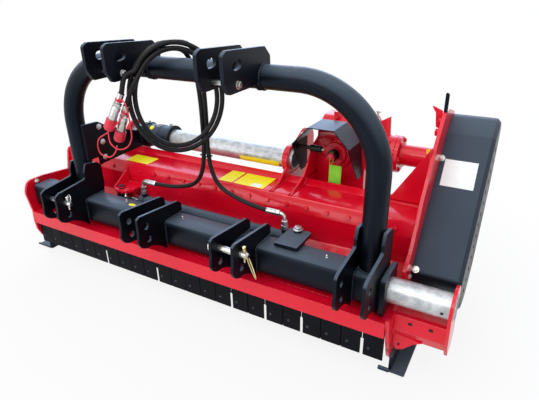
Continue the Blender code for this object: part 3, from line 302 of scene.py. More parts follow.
def slotted(middle, radius, length, tilt, count=10):
    """Outline of a slot with round ends, its long side tilted by degrees."""
    half = length / 2 - radius
    step = Vector((math.cos(math.radians(tilt)), math.sin(math.radians(tilt)))) * half
    middle = Vector(middle)
    return (ring(middle + step, radius, count, tilt - 90, 180)
            + ring(middle - step, radius, count, tilt + 90, 180))


def baked(holder):
    """The plain mesh that an object shows; the object itself is removed."""
    graph = bpy.context.evaluated_depsgraph_get()
    mesh = bpy.data.meshes.new_from_object(holder.evaluated_get(graph))
    bpy.data.objects.remove(holder, do_unlink=True)
    return mesh


def plate_skin(outline, low, high, plane, holes=()):
    """Mesh of a flat plate between two stations across its plane, with its holes."""
    curve = bpy.data.curves.new("cut", "CURVE")
    curve.dimensions = "2D"
    curve.fill_mode = "BOTH"
    curve.extrude = (high - low) / 2000
    for loop in [outline, *holes]:
        spline = curve.splines.new("POLY")
        spline.points.add(len(loop) - 1)
        spline.use_cyclic_u = True
        for point, place in zip(spline.points, loop):
            point.co = (place[0] / 1000, place[1] / 1000, 0, 1)
    mesh = baked(placed("cut", curve))
    bpy.data.curves.remove(curve)
    middle = (low + high) / 2
    for vertex in mesh.vertices:
        a, b, across = vertex.co * 1000
        across += middle
        vertex.co = here(*{"YZ": (across, a, b), "XZ": (a, across, b), "XY": (a, b, across)}[plane])
    return mesh


def turned(profile, centre, along, sides=40, loop=False):
    """Rings of a lathe-turned body: (station, radius) in millimetres from a centre, along a way."""
    along = Vector(along).normalized()
    across = along.orthogonal().normalized()
    up = along.cross(across)
    rings = []
    for station, radius in profile:
        middle = here(*centre) + along * station / 1000
        rings.append([middle + (across * a + up * b) / 1000 for a, b in ring((0, 0), radius, sides)])
    return rings, loop


def bar(points, radius, sides=12, loop=False):
    """Rings of a round bar along places on the drawing, kept from twisting."""
    route = [here(*point) for point in points]
    rings = []
    across = None
    for index, middle in enumerate(route):
        after = route[(index + 1) % len(route)] if loop else route[min(index + 1, len(route) - 1)]
        before = route[index - 1] if loop else route[max(index - 1, 0)]
        way = (after - before).normalized()
        across = way.orthogonal() if across is None else across - way * across.dot(way)
        across.normalize()
        up = way.cross(across)
        rings.append([middle + (across * a + up * b) / 1000 for a, b in ring((0, 0), radius, sides)])
    return rings, loop


def skin(*bodies):
    """One mesh of closed skins, each a run of rings that is capped at its ends or closed in a loop."""
    made = bmesh.new()
    for rings, loop in bodies:
        rows = [[made.verts.new(point) for point in row] for row in rings]
        pairs = list(zip(rows, rows[1:]))
        if loop:
            pairs.append((rows[-1], rows[0]))
        for row, after in pairs:
            for index, vertex in enumerate(row):
                follow = (index + 1) % len(row)
                made.faces.new((vertex, row[follow], after[follow], after[index]))
        if not loop:
            made.faces.new(rows[0][::-1])
            made.faces.new(rows[-1])
    mesh = bpy.data.meshes.new("skin")
    made.to_mesh(mesh)
    made.free()
    return mesh


def piece(name, meshes, material, body, slot=None, edge=0.0, stands_for=()):
    """A finished piece from one or more meshes, riding on a body of the frame."""
    whole = bmesh.new()
    for mesh in meshes if isinstance(meshes, (list, tuple)) else (meshes,):
        whole.from_mesh(mesh)
    bmesh.ops.remove_doubles(whole, verts=whole.verts, dist=PIECE_SEAM)
    bmesh.ops.recalc_face_normals(whole, faces=whole.faces)
    mesh = bpy.data.meshes.new(name)
    whole.to_mesh(mesh)
    whole.free()
    mesh.materials.append(material)
    mesh.shade_smooth()
    mesh.set_sharp_from_angle(angle=SHARPEST)
    made = placed(name, mesh)
    if edge:
        soften(made, edge)
    if stands_for:
        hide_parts(*stands_for)
    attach(made, body)
    return made


collar = [(0, 41), (0, 57), (-9, 57), (-12, 54), (-12, 41)]
piece("tube_ring_left", skin(turned(collar, (LEFT_SIDE - 12, TUBE_Y, TUBE_Z), RIGHT, 48, True)),
      *RED_BODY, edge=1.0)
piece("cylinder_gusset", plate_skin([(212, 46), (304, 46), (304, 96), (296, 100)], 124, 131, "YZ"),
      *RED_BODY, edge=1.0)
piece("outrigger_lug",
      plate_skin(bent([(1389, -166), (1478, -176), (1452, -190, 20), (1421, -222, 10),
                       (1400, -230, 8), (1389, -206, 8)], 2, True), 126, 133, "XZ",
                 [ring((1407, -206), 5.5, 16)]), *RED_BODY, edge=1.0)
piece("hook_bracket",
      plate_skin(bent([(1374, 372), (1374, 436, 4), (1336, 452, 2), (1352, 428, 6),
                       (1357, 380, 8)], 2, True), 556, 562, "XZ"), *RED_BODY, edge=1.0)


# Bolts, nuts and rivets.  Each tree puts one fastener on every point of a plain mesh, turned the way
# that the point faces.  Its sizes are shares of the head's radius, which the point holds.  Heads are
# hexagons with a turned chamfer and a washer under them, and rivets are low domes.
LEFT, FRONT = (-1, 0, 0), (0, -1, 0)
CHAMFER_WAY = (0, -0.77, 0.64)   # out of the side plate's slanting front edge
DECK_WAY = (0, -53, 12)          # out of the deck's front fold
DECK_BOLT_PITCH = 80.2


def tree_with(name, numbers):
    """An empty node tree with a geometry input, named numbers, a finish, and its two ends."""
    tree = bpy.data.node_groups.new(name, "GeometryNodeTree")
    tree.interface.new_socket("Geometry", in_out="INPUT", socket_type="NodeSocketGeometry")
    for label, value in numbers.items():
        socket = tree.interface.new_socket(label, in_out="INPUT", socket_type="NodeSocketFloat")
        socket.default_value = value
    tree.interface.new_socket("Finish", in_out="INPUT", socket_type="NodeSocketMaterial")
    tree.interface.new_socket("Geometry", in_out="OUTPUT", socket_type="NodeSocketGeometry")
    return tree, node(tree, "NodeGroupInput").outputs


def end_tree(tree, geometry, finish):
    """Make instances real, give them their finish and close the tree."""
    real = node(tree, "GeometryNodeRealizeInstances", {"Geometry": geometry})
    painted = node(tree, "GeometryNodeSetMaterial", {"Geometry": real, "Material": finish})
    node(tree, "NodeGroupOutput", {"Geometry": painted})


def on_points(tree, start, shape):
    """Put a shape on every point, facing and sized by the point's own attributes."""
    facing = node(tree, "GeometryNodeInputNamedAttribute", {"Name": "facing"},
                  data_type="FLOAT_VECTOR")
    size = node(tree, "GeometryNodeInputNamedAttribute", {"Name": "size"}, data_type="FLOAT")
    turn = node(tree, "FunctionNodeAlignRotationToVector", {"Vector": facing}, axis="Z")
    return node(tree, "GeometryNodeInstanceOnPoints",
                {"Points": start["Geometry"], "Instance": shape, "Rotation": turn, "Scale": size})


def grown(mesh, tree, material, numbers):
    """The plain mesh that a tree grows on a mesh; its inputs are set by identifier."""
    holder = placed("holder", mesh)
    modifier = holder.modifiers.new("grow", "NODES")
    modifier.node_group = tree
    for item in tree.interface.items_tree:
        if item.in_out == "INPUT" and item.name in numbers:
            modifier[item.identifier] = numbers[item.name]
        if item.in_out == "INPUT" and item.name == "Finish":
            modifier[item.identifier] = material
    return baked(holder)


def fasten(name, tree, spots, material, body, slot=None, **numbers):
    """Fasteners on spots of (place, facing, size in mm), as one piece of a body."""
    mesh = bpy.data.meshes.new(name)
    mesh.from_pydata([here(*place) for place, _, _ in spots], [], [])
    mesh.attributes.new("facing", "FLOAT_VECTOR", "POINT")
    mesh.attributes.new("size", "FLOAT", "POINT")
    for index, (_, way, radius) in enumerate(spots):
        mesh.attributes["facing"].data[index].vector = Vector(way).normalized()
        mesh.attributes["size"].data[index].value = radius / 1000
    numbers = {label.replace("_", " "): value for label, value in numbers.items()}
    return piece(name, grown(mesh, tree, material, numbers), material, body, slot)


hex_heads, start = tree_with("hex_heads",
                             {"Head Height": 0.62, "Washer Radius": 1.28, "Stud Length": 0.1})
head_seat = node(hex_heads, "ShaderNodeMath", {0: start["Head Height"], 1: 0.5, 2: 0.12},
                 operation="MULTIPLY_ADD")
crown_seat = node(hex_heads, "ShaderNodeMath", {0: start["Head Height"], 1: 0.1})
stud_seat = node(hex_heads, "ShaderNodeMath", {0: start["Stud Length"], 1: 0.5, 2: crown_seat},
                 operation="MULTIPLY_ADD")
joined = node(hex_heads, "GeometryNodeJoinGeometry")
for form, sizes, seat in (   # washer, head, chamfered crown and the stud's end
        ("Cylinder", {"Vertices": 20, "Depth": 0.16, "Radius": start["Washer Radius"]}, 0.05),
        ("Cylinder", {"Vertices": 6, "Depth": start["Head Height"], "Radius": 1.0}, head_seat),
        ("Cone", {"Vertices": 18, "Depth": 0.14, "Radius Top": 0.72, "Radius Bottom": 0.93},
         crown_seat),
        ("Cylinder", {"Vertices": 14, "Depth": start["Stud Length"], "Radius": 0.5}, stud_seat)):
    shape = node(hex_heads, "GeometryNodeMesh" + form, sizes)
    lift = node(hex_heads, "ShaderNodeCombineXYZ", {"Z": seat})
    raised = node(hex_heads, "GeometryNodeTransform", {"Geometry": shape, "Translation": lift})
    fill(hex_heads, joined, {"Geometry": raised})
end_tree(hex_heads, on_points(hex_heads, start, joined), start["Finish"])

rivet_heads, start = tree_with("rivet_heads", {"Crown Height": 0.5})
ball = node(rivet_heads, "GeometryNodeMeshUVSphere", {"Segments": 14, "Rings": 8, "Radius": 1.0})
squeeze = node(rivet_heads, "ShaderNodeCombineXYZ",
               {"X": 1.0, "Y": 1.0, "Z": start["Crown Height"]})
low = node(rivet_heads, "GeometryNodeTransform", {"Geometry": ball, "Scale": squeeze})
domed = node(rivet_heads, "GeometryNodeSetShadeSmooth", {"Geometry": low})
end_tree(rivet_heads, on_points(rivet_heads, start, domed), start["Finish"])

zinc = surface("zinc_plate", ("B4B5AC", "DADCE0"), (0.24, 0.4), 30, 4, 0.1, 1.0)
ZINC_FRAME = (zinc, "frame", "zinc")
fasten("deck_bolts", hex_heads,
       [((30.5 + DECK_BOLT_PITCH * index, 312, 95), DECK_WAY, 8.5) for index in range(-3, 17)],
       *RED_BODY, Head_Height=0.55)
fasten("red_bolts_drive", hex_heads, [((1375, 520, 372), LEFT, 13), ((1375, 545, 405), LEFT, 9)],
       *RED_BODY)
fasten("frame_bolts", hex_heads,
       [((-257, 111, 40), (0.25, -0.4, 1), 9), ((1393, 547, 276), CHAMFER_WAY, 9),
        ((1400, 297, -29), CHAMFER_WAY, 9), ((1384, 278, -48), (0, -1, 0.1), 8)],
       *ZINC_FRAME, Stud_Length=0.5)


# Weld beads: the runs of molten steel between plates, painted over with them.  Each is a round bead
# along a line, with the ripples that the welder's hand leaves, drawn 5 mm apart.
RIPPLE = 0.005                           # metres
RIPPLE_SWELL, LEAST_WIDTH = 0.13, 0.45   # shares of the bead's radius
HAND_WAVES = 60.0                        # slow waves to the metre in the width of a bead
weld_run, start = tree_with("weld_run", {"Bead Radius": 0.0035, "Ripple Length": RIPPLE})
line = node(weld_run, "GeometryNodeMeshToCurve", {"Mesh": start["Geometry"]})
fine = node(weld_run, "GeometryNodeResampleCurve", {"Curve": line, "Length": RIPPLE / 4},
            mode="LENGTH")
along = node(weld_run, "GeometryNodeSplineParameter").outputs["Length"]
count = node(weld_run, "ShaderNodeMath", {0: along, 1: start["Ripple Length"]}, operation="DIVIDE")
phase = node(weld_run, "ShaderNodeMath", {0: count, 1: 2 * math.pi}, operation="MULTIPLY")
wave = node(weld_run, "ShaderNodeMath", {0: phase}, operation="SINE")
wobble = node(weld_run, "ShaderNodeTexNoise", {"Scale": HAND_WAVES, "Detail": 1.0})
swell = node(weld_run, "ShaderNodeMath", {0: wave, 1: RIPPLE_SWELL, 2: wobble},
             operation="MULTIPLY_ADD")
width = node(weld_run, "ShaderNodeMath", {0: swell, 1: LEAST_WIDTH})
profile = node(weld_run, "GeometryNodeCurvePrimitiveCircle",
               {"Resolution": 8, "Radius": start["Bead Radius"]})
bead = node(weld_run, "GeometryNodeCurveToMesh",
            {"Curve": fine, "Profile Curve": profile, "Scale": width, "Fill Caps": True})
end_tree(weld_run, bead, start["Finish"])


def weld(name, runs, radius, material, body, slot):
    """Weld beads along runs of places on the drawing, as one piece of a body."""
    mesh = bpy.data.meshes.new(name)
    places = []
    edges = []
    for run in runs:
        edges += [(len(places) + index, len(places) + index + 1) for index in range(len(run) - 1)]
        places += [here(*place) for place in run]
    mesh.from_pydata(places, edges, [])
    numbers = {"Bead Radius": radius / 1000}
    return piece(name, grown(mesh, weld_run, material, numbers), material, body, slot)


DECK_TOP = [(320, 129), (432, 131), (462, 148), (470, 135), (478, 122), (500, 113), (560, 87),
            (600, 69)]   # the deck's upper side, where the gearbox supports stand
runs = [[(x, y, z) for y, z in DECK_TOP] for x in (837, 847, 916, 926)]
runs += [[(x, y, z) for y, z in DECK_TOP[2:]] for x in (1, 19)]
runs += [[(1390, 213, -90), (1541, 213, -90)], [(1390, 117, -93), (1390, 210, -90)],
         [(1541, 120, -94), (1541, 209, -90)], [(1389, 116, -140), (1389, 134, -180)],
         [(LEFT_SIDE + 2, 312, 90), (LEFT_SIDE + 2, 318, 125), (LEFT_SIDE + 2, 430, 132)],
         [(RIGHT_SIDE - 2, 312, 60), (RIGHT_SIDE - 2, 320, 126), (RIGHT_SIDE - 2, 428, 132)],
         [(1258, 437, 133), (RIGHT_SIDE - 2, 437, 133)],
         [(RIGHT_SIDE - 2, 437, 140), (RIGHT_SIDE - 2, 437, 340)], [(124, 300, 44), (190, 300, 44)]]
weld("frame_welds", runs, 3.0, *RED_BODY)


# The black parts: square beam, link plates, arch tube, rear arm, belt cover and guard, welded or
# folded from steel.  Their satin paint has a painted blue-grey sheen on every face that looks up,
# standing in for the sky's reflection.
black = surface("black_satin_paint", ("06080E", "0B0E17"), (0.34, 0.46), 140, 9, 0.3)
gloss(black, 0.22)
SHEEN_FROM, SHEEN_MOST = 0.15, 0.85   # how level a face is where the painted sheen starts, and the most it hides
tree = black.node_tree
shader = tree.nodes["Principled BSDF"]
normal = node(tree, "ShaderNodeTexCoord").outputs["Normal"]
facing_up = node(tree, "ShaderNodeSeparateXYZ", {0: normal}).outputs["Z"]
# The blue-grey mixed in on faces that look up is a painted sheen for the sky's reflection
film = node(tree, "ShaderNodeMapRange", {"Value": facing_up, "From Min": SHEEN_FROM,
                                         "From Max": 1.0, "To Min": 0.0, "To Max": SHEEN_MOST})
sky_sheen_on_tops = node(tree, "ShaderNodeMixRGB",
             {"Fac": film, "Color1": shader.inputs["Base Color"].links[0].from_socket,
              "Color2": linear("55616F")})
fill(tree, shader, {"Base Color": sky_sheen_on_tops, "Specular Tint": linear("BCD0F0")})
BLACK_HEAD = (black, "headstock", "black_paint")
BLACK_FRAME = (black, "frame", "black_paint")
dress(("beam", "rear_arm", "skid_left", "skid_right", "belt_cover", "pto_shield")
      + tuple(f"link_plate_{index}" for index in range(1, 9)), black, 1.8)

ARCH_LEFT, ARCH_RIGHT, ARCH_Y, ARCH_TOP = 42.0, 1294.0, 148.0, 585
ARCH_FOOT, ARCH_BEND, ARCH_RADIUS = 30, 250, 36.7
CLEVIS_X = (412.5, 496.5, 839.6, 923.6)   # middles of the top link plates
CLEVIS_HALF, CLEVIS_GAP = 6, 72           # half a plate's thickness, and the room for the top link
CLEVIS_BOLT = (5, 588)
LINK_PLATE_X = (0, 84, 427, 511, 825, 909, 1252, 1336)   # middles of the eight link plates
LINK_PLATE_HALF = 5
ROUND_BEAM = ((88, -68), (88, 20), (92, 28), (104, 31), (188, 31))
REAR_Y, REAR_Z = 498, 200   # axis of the rear slide tube, where the arm ends
arch_run = bent([(ARCH_LEFT, ARCH_Y, ARCH_FOOT), (ARCH_LEFT, ARCH_Y, ARCH_TOP, ARCH_BEND),
                 (ARCH_RIGHT, ARCH_Y, ARCH_TOP, ARCH_BEND), (ARCH_RIGHT, ARCH_Y, ARCH_FOOT)],
                3, steps=28)
piece("arch_tube", skin(bar(arch_run, ARCH_RADIUS, 56)), *BLACK_HEAD, stands_for=("arch",))
clevis = bent([(-39, 567, 12), (-60, 600, 30), (-60, 673, 14), (-40, 682, 8), (152, 671, 6),
               (182, 643, 6), (184, 600, 6), (150, 580), (67, 568)], 2, True)
cuts = [slotted((5, 640), 13, 44, 8), ring(CLEVIS_BOLT, 9.5, 20)]
piece("top_link_plates",
      [plate_skin(clevis, x - CLEVIS_HALF, x + CLEVIS_HALF, "YZ", cuts) for x in CLEVIS_X],
      *BLACK_HEAD, edge=2.0)

round_arch = ring((0, 0), ARCH_RADIUS + 0.8, 40)
round_arch.append(round_arch[0])
runs = [[(x + side * (LINK_PLATE_HALF + 1), y, z) for y, z in ROUND_BEAM]
        for x in LINK_PLATE_X for side in (-1, 1)]
runs += [[(x + side * (CLEVIS_HALF + 1), ARCH_Y + a, ARCH_TOP + b) for a, b in round_arch]
         for x in CLEVIS_X for side in (-1, 1)]
runs += [[(foot + a, ARCH_Y + b, ARCH_FOOT + 1) for a, b in round_arch]
         for foot in (ARCH_LEFT, ARCH_RIGHT)]
runs += [[(79, 150, 190), (79, 150, 330)],
         [(93, y, z) for y, z in ring((REAR_Y, REAR_Z), 57, 24, 100, 180)]]
weld("headstock_welds", runs, 3.6, *BLACK_HEAD)


# Silver slide tubes: thick-walled steel tube that the red body holds at its ends, hot-dip galvanised,
# so whitish grey with a faint spangle.  The spangle is drawn at 7 mm.
SPANGLE = 7
galvanised = surface("hot_dip_galvanising", ("B4B8BC", "D6D9DC"), (0.34, 0.46), 22, 3, 0.2, 0.8)
tree = galvanised.node_tree
shader = tree.nodes["Principled BSDF"]
place = node(tree, "ShaderNodeTexCoord").outputs["Object"]
spangle = node(tree, "ShaderNodeTexVoronoi", {"Vector": place, "Scale": 1000 / SPANGLE})
grey = node(tree, "ShaderNodeMapRange", {"Value": spangle, "From Min": 0.0, "From Max": 0.8,
                                         "To Min": 1.0, "To Max": 0.84})
tinted = node(tree, "ShaderNodeVectorMath",
              {0: shader.inputs["Base Color"].links[0].from_socket, 1: grey}, operation="MULTIPLY")
fill(tree, shader, {"Base Color": tinted})
for name, left, right, y, z in (("front_slide_tube", -276, 1556, TUBE_Y, TUBE_Z),
                                ("rear_slide_tube", 0, 858, REAR_Y, REAR_Z)):
    wall = [(left, 38.5), (left + 1.5, 40), (right - 1.5, 40), (right, 38.5), (right, 35), (left, 35)]
    piece(name + "_skin", skin(turned(wall, (0, y, z), RIGHT, 64, True)), galvanised, "frame",
          "bare_steel", stands_for=(name,))

# Bolt holes and a screw's seat on the tube and the outrigger, filled with dark discs that paint the
# shade inside them, and a blackened bolt
dark = surface("painted_hole_shade_and_black_bolt", ("050506", "0A0A0B"), (0.6, 0.8), 20, 5, 0.1)
tube_seat = turned([(38.5, 5), (40.15, 5), (40.15, 3)], (1522, TUBE_Y, TUBE_Z), (0, -40, -5), 16)
holes = [turned([(-2, 7), (0.6, 7), (0.6, 5)], (x, 118.4, -113), (0, -1, -0.16), 20)
         for x in (1437, 1498)]
piece("screw_seats", skin(tube_seat, *holes), dark, "frame", "black_paint")
ROD_EYE_X, CYLINDER_Y = 160, 225   # the bolt through the eye of the cylinder's rod
BOLT_SEAT = (ROD_EYE_X, CYLINDER_Y, 46)
piece("bracket_bolt",
      skin(turned([(-2, 15), (3, 15), (3, 13), (4, 13)], BOLT_SEAT, UP, 24),
           turned([(3, 12), (11, 12), (12, 11)], BOLT_SEAT, UP, 6)), dark, "frame", "black_paint")


# The sleeve that slides on the rear tube, welded to the arm: a black tube with a flange at each end,
# a grease nipple and its yellow cap.  The arm has three zinc-plated bolts beside the arch, and each
# flange has one on top.
BEAM_TOP = 30
ZINC_HEAD = (zinc, "headstock", "zinc")
sleeve = [(0, 40.4), (0, 56), (1.5, 57.5), (13, 57.5), (14.5, 56), (14.5, 51), (60, 51), (61, 53),
          (95, 53), (96, 51), (141.5, 51), (141.5, 56), (143, 57.5), (154.5, 57.5), (156, 56),
          (156, 40.4)]
piece("slide_sleeve_skin", skin(turned(sleeve, (91.3, REAR_Y, REAR_Z), RIGHT, 48, True)),
      *BLACK_HEAD, stands_for=("slide_sleeve",))
fasten("arm_bolts", hex_heads,
       [((91.4, 217, 309), RIGHT, 9.5), ((91.4, 224, 243), RIGHT, 9.5),
        ((91.4, 224, 176), RIGHT, 9.5), ((106, REAR_Y, 258), UP, 8), ((232, REAR_Y, 258), UP, 8)],
       *ZINC_HEAD, Stud_Length=0.4)
nipple = [(-2, 4.6), (3, 4.6), (4, 2.6), (7, 2.4), (9, 3.4), (11.5, 2.2), (12.5, 0.8)]
piece("grease_nipples", skin(*[turned(nipple, place, way, 12) for place, way in (
    ((259, 151, BEAM_TOP), UP), ((170, 480, 250), (0, -0.3, 1)), ((560, TUBE_Y, BEAM_TOP), UP),
    ((1150, TUBE_Y, BEAM_TOP), UP))]), *ZINC_HEAD)


# Blank stickers and tags: printed film with nothing on it, in safety yellow and white, and one green
# card tag.  The film is smooth with a slight cream drift, and its edge stands a little proud.  A
# yellow strip on the rear tube paints the reflection of the deck's yellow stickers in it.
yellow = surface("yellow_film_and_reflection", ("FFF000", "FFF53C"), (0.35, 0.5), 60, 8, 0.05)
paper = surface("white_film", ("EEFAFA", "F6FFFF"), (0.5, 0.65), 40, 8, 0.05)
green = surface("green_card", ("76C82A", "86D838"), (0.5, 0.6), 30, 3, 0.15)
DECK_FACE = ((320, 128.2), (432, 130.2))   # where the deck's upper fold starts and ends
COVER_FOOT, COVER_RISE = (292, -35), (318, 385)   # the belt cover's front slope, and how it leans
COVER_GAP, FILM = 0.2, 0.8


def flat_label(corners, lift):
    """A thin plate on four or more corners, standing proud of its seat by a lift in mm."""
    low = [here(*corner) for corner in corners]
    normal = (low[1] - low[0]).cross(low[-1] - low[0]).normalized()
    high = [point + normal * lift / 1000 for point in low]
    return [low, high], False


def on_deck(x, y):
    """A place on the deck's upper fold."""
    share = (y - DECK_FACE[0][0]) / (DECK_FACE[1][0] - DECK_FACE[0][0])
    return (x, y, DECK_FACE[0][1] + share * (DECK_FACE[1][1] - DECK_FACE[0][1]))


def on_slope(x, y):
    """A place just off the belt cover's front slope, found from its depth."""
    slope = Vector(COVER_RISE).normalized()
    foot_y = COVER_FOOT[0] - slope.y * COVER_GAP
    foot_z = COVER_FOOT[1] + slope.x * COVER_GAP
    return (x, y, foot_z + (y - foot_y) * slope.y / slope.x)


piece("yellow_plates",
      skin(*[flat_label([on_deck(left, 327), on_deck(right, 327), on_deck(right, far),
                         on_deck(left, far)], FILM)
             for left, right, far in ((98, 226, 400), (601, 664, 431), (673, 804, 431))]),
      yellow, "frame")
corners = ((744, 331), (789, 331), (785, 358), (748, 358))
piece("white_patch", skin(flat_label([on_deck(*corner) for corner in corners], 1.4)), paper, "frame")
corners = ((1407, 487), (1514, 487), (1512, 548), (1406, 548))
piece("cover_label", skin(flat_label([on_slope(*corner) for corner in corners], FILM)), paper,
      "frame")
# Painted reflection of the deck's yellow stickers: a yellow strip on the rear tube's front underside
under, over = ring((REAR_Y, REAR_Z), 40.1, 8, 192, 48), ring((REAR_Y, REAR_Z), 40.8, 8, 240, -48)
sticker_reflection = [[here(x, y, z) for y, z in under + over] for x in (618, 800)]
piece("rear_tube_sticker_reflection", skin((sticker_reflection, False)), yellow, "frame")
piece("beam_oval", plate_skin([(300 + a, 140 + b * 0.55) for a, b in ring((0, 0), 17, 24)],
                              BEAM_TOP + 0.2, BEAM_TOP + 1.0, "XY"), yellow, "headstock")
piece("sleeve_cap", skin(turned([(0, 11), (3, 11), (5, 8)], (142, 470, 243), (0, -0.5, 0.85), 20)),
      yellow, "headstock")
piece("corner_sticker", plate_skin([(1330, 262), (1356, 274), (1350, 286), (1326, 276)],
                                   608, 608.6, "XZ"), yellow, "frame")


# Link pins: turned steel bars with a collar, zinc-plated.  Each is held by a lynch pin with a sprung
# bow, zinc-plated on the left and yellow-plated on the right.  Bolts close the top link's plates.
yellow_zinc = surface("yellow_zinc", ("BFAF78", "D8CC9C"), (0.22, 0.36), 30, 4, 0.1, 1.0)
PIN_Y, PIN_Z = -5, 55
LOCK_X, LOCK_TOP = 104, 80   # the lynch pin along the link pin, and the top of its head
BOW_HALF = 14
shank = [(-30, 14), (-28, 17), (-9, 17), (-7, 15.5), (-5.3, 15.5), (-5.3, 10.9), (110, 10.9),
         (118, 8.5), (120, 7)]
lynch = [(27, 2), (31, 4.2), (72, 4.2), (72, 7.5), (84, 7.5), (86, 6)]
for name, x, lock, reach, drop, open_way in (
        ("link_pin_left", 0, zinc, 22, (0.8, -0.25, 0.12), (0.0, 0.3, 1.0)),
        ("link_pin_right", 825, yellow_zinc, 52, (0.45, -0.1, -0.89), (-0.5, 0.86, 0.0))):
    piece(name + "_skin", skin(turned(shank, (x, PIN_Y, PIN_Z), RIGHT, 32)), *ZINC_HEAD,
          stands_for=(name,))
    top = Vector((x + LOCK_X, PIN_Y, LOCK_TOP))
    bow = [top + Vector(drop) * (reach - reach * a) + Vector(open_way) * BOW_HALF * b
           for a, b in ring((0, 0), 1, 30)]
    piece(name + "_lock",
          skin(turned(lynch, (x + LOCK_X, PIN_Y, 0), UP, 16), bar(bow, 2.1, 8, True)),
          lock, "headstock", "zinc")
fasten("arch_plate_bolts", hex_heads,
       [((x + side * CLEVIS_HALF, *CLEVIS_BOLT), (side, 0, 0), 10)
        for x, side in zip(CLEVIS_X, (-1, 1, -1, 1))], *ZINC_HEAD, Stud_Length=0.3)
piece("arch_plate_shanks",
      skin(*[turned([(0, 7.8), (CLEVIS_GAP, 7.8)], (x + CLEVIS_HALF, *CLEVIS_BOLT), RIGHT, 20)
             for x in CLEVIS_X[::2]]), *ZINC_HEAD)


# Hydraulic cylinder: black-painted barrel with a gland, a welded eye and two port bosses, and a
# chromed rod whose eye is pinned to the red bracket.  Zinc-plated elbows and crimped ends carry the
# hoses away.
chrome = surface("hard_chrome", ("CDD0D2", "DDDFE0"), (0.06, 0.14), 60, 2, 0.02, 1.0)
CYLINDER_Z = 5
BARREL_EYE_X = 1004
PORTS = ((290, 1), (952, -1))   # each port along the cylinder, and the way that its elbow points
ELBOW_Z, ELBOW_END = 102, 44    # height of an elbow's arm, and how far it goes from its port
barrel = [(270, 15), (270, 29.5), (271.5, 31), (280, 31), (281, 29.8), (284, 29.8), (285, 31),
          (294, 31), (295, 28), (976, 28), (982, 23), (982, 1), (962, 1), (962, 24), (300, 24),
          (299, 15)]
port = [(25, 12), (44, 12), (46, 10.5), (47, 10.5)]
rod = [(180, 12), (182, 14), (944, 14), (944, 23), (968, 23), (968, 12)]
upper_nuts = ([(46, 12.5), (47, 13.5), (60, 13.5), (61, 12.5)],
              [(62, 10.5), (63, 11.5), (76, 11.5), (77, 10)])
hose_nut = [(18, 10.5), (19, 11.5), (31, 11.5), (32, 10.5)]
crimp = [(33, 8.6), (33, 10.2), (36, 10.8), (40, 9.9), (44, 10.8), (48, 9.9), (52, 10.8),
         (56, 9.9), (60, 10.8), (70, 10.4), (72, 9.6), (72, 8.3)]


def eye(x, low, high):
    """The flat eye of the barrel or the rod, bored for its bolt."""
    return plate_skin(ring((x, CYLINDER_Y), 24, 36), low, high, "XY",
                      [ring((x, CYLINDER_Y), 9.4, 20)])


piece("cylinder_barrel_skin",
      [skin(turned(barrel, (0, CYLINDER_Y, CYLINDER_Z), RIGHT, 48, True),
            *[turned(port, (x, CYLINDER_Y, 0), UP, 20) for x, _ in PORTS]),
       eye(BARREL_EYE_X, -17, 27)], *BLACK_HEAD, stands_for=("cylinder_barrel",))
elbows = []
for x, side in PORTS:
    pipe = bent([(x, CYLINDER_Y, 50), (x, CYLINDER_Y, ELBOW_Z, 16),
                 (x + side * ELBOW_END, CYLINDER_Y, ELBOW_Z)], 3, steps=12)
    elbows.append(bar(pipe, 6.4, 20))
    elbows += [turned(nut, (x, CYLINDER_Y, 0), UP, 6) for nut in upper_nuts]
    elbows.append(turned(hose_nut, (x, CYLINDER_Y, ELBOW_Z), (side, 0, 0), 6))
    elbows.append(turned(crimp, (x, CYLINDER_Y, ELBOW_Z), (side, 0, 0), 28))
piece("cylinder_fittings", skin(*elbows), *ZINC_HEAD)
fasten("cylinder_bolt", hex_heads, [((BARREL_EYE_X, CYLINDER_Y, 55), UP, 14)], *ZINC_HEAD)
piece("cylinder_rod_skin",
      [skin(turned(rod, (0, CYLINDER_Y, CYLINDER_Z), RIGHT, 40)), eye(ROD_EYE_X, -15, 25)],
      chrome, "frame", "bare_steel", stands_for=("cylinder_rod",))


# Two hydraulic hoses, rubber over steel wire.  They rise from the cylinder, wind over the arch tube
# in a turn and a quarter, and end in plated couplers.  Each coupler wears a red dust cap on a strap.
rubber = surface("hose_rubber", ("090809", "141214"), (0.4, 0.52), 60, 1.6, 0.12)
gloss(rubber, 0.22)
red_plastic = surface("red_plastic", ("BE1228", "D4203A"), (0.34, 0.46), 40, 3, 0.05)
HOSE = 0.008                         # radius in metres
LOOP_MIDDLE = (611, 120, 495)
LOOP_WIDE, LOOP_HIGH = 133, 160      # half the width and height of the inner hose's loop
LOOP_STEP = 17.8                     # from one turn to the next, and from hose to hose
LOOP_TURN = math.radians(48.7)       # the loop's plane is turned this far from the machine's length
LOOP_START, STOP_TURN, LOOP_STOPS = 100, 15, 28   # degrees, degrees from stop to stop, and stops
HALF_WAY = 0.55                      # turns from the first stop to the middle of the loop
GRIP = 24                            # how far a hose goes into its coupler


def flowing(stops, steps=6):
    """Points of a smooth curve through the stops."""
    stops = [Vector(stop) for stop in stops]
    run = []
    for index in range(len(stops) - 1):
        before, start = stops[max(index - 1, 0)], stops[index]
        end, after = stops[index + 1], stops[min(index + 2, len(stops) - 1)]
        for step in range(steps):
            t = step / steps
            run.append(0.5 * (2 * start + (end - before) * t
                              + (2 * before - 5 * start + 4 * end - after) * t ** 2
                              + (3 * start - before - 3 * end + after) * t ** 3))
    return [*run, stops[-1]]


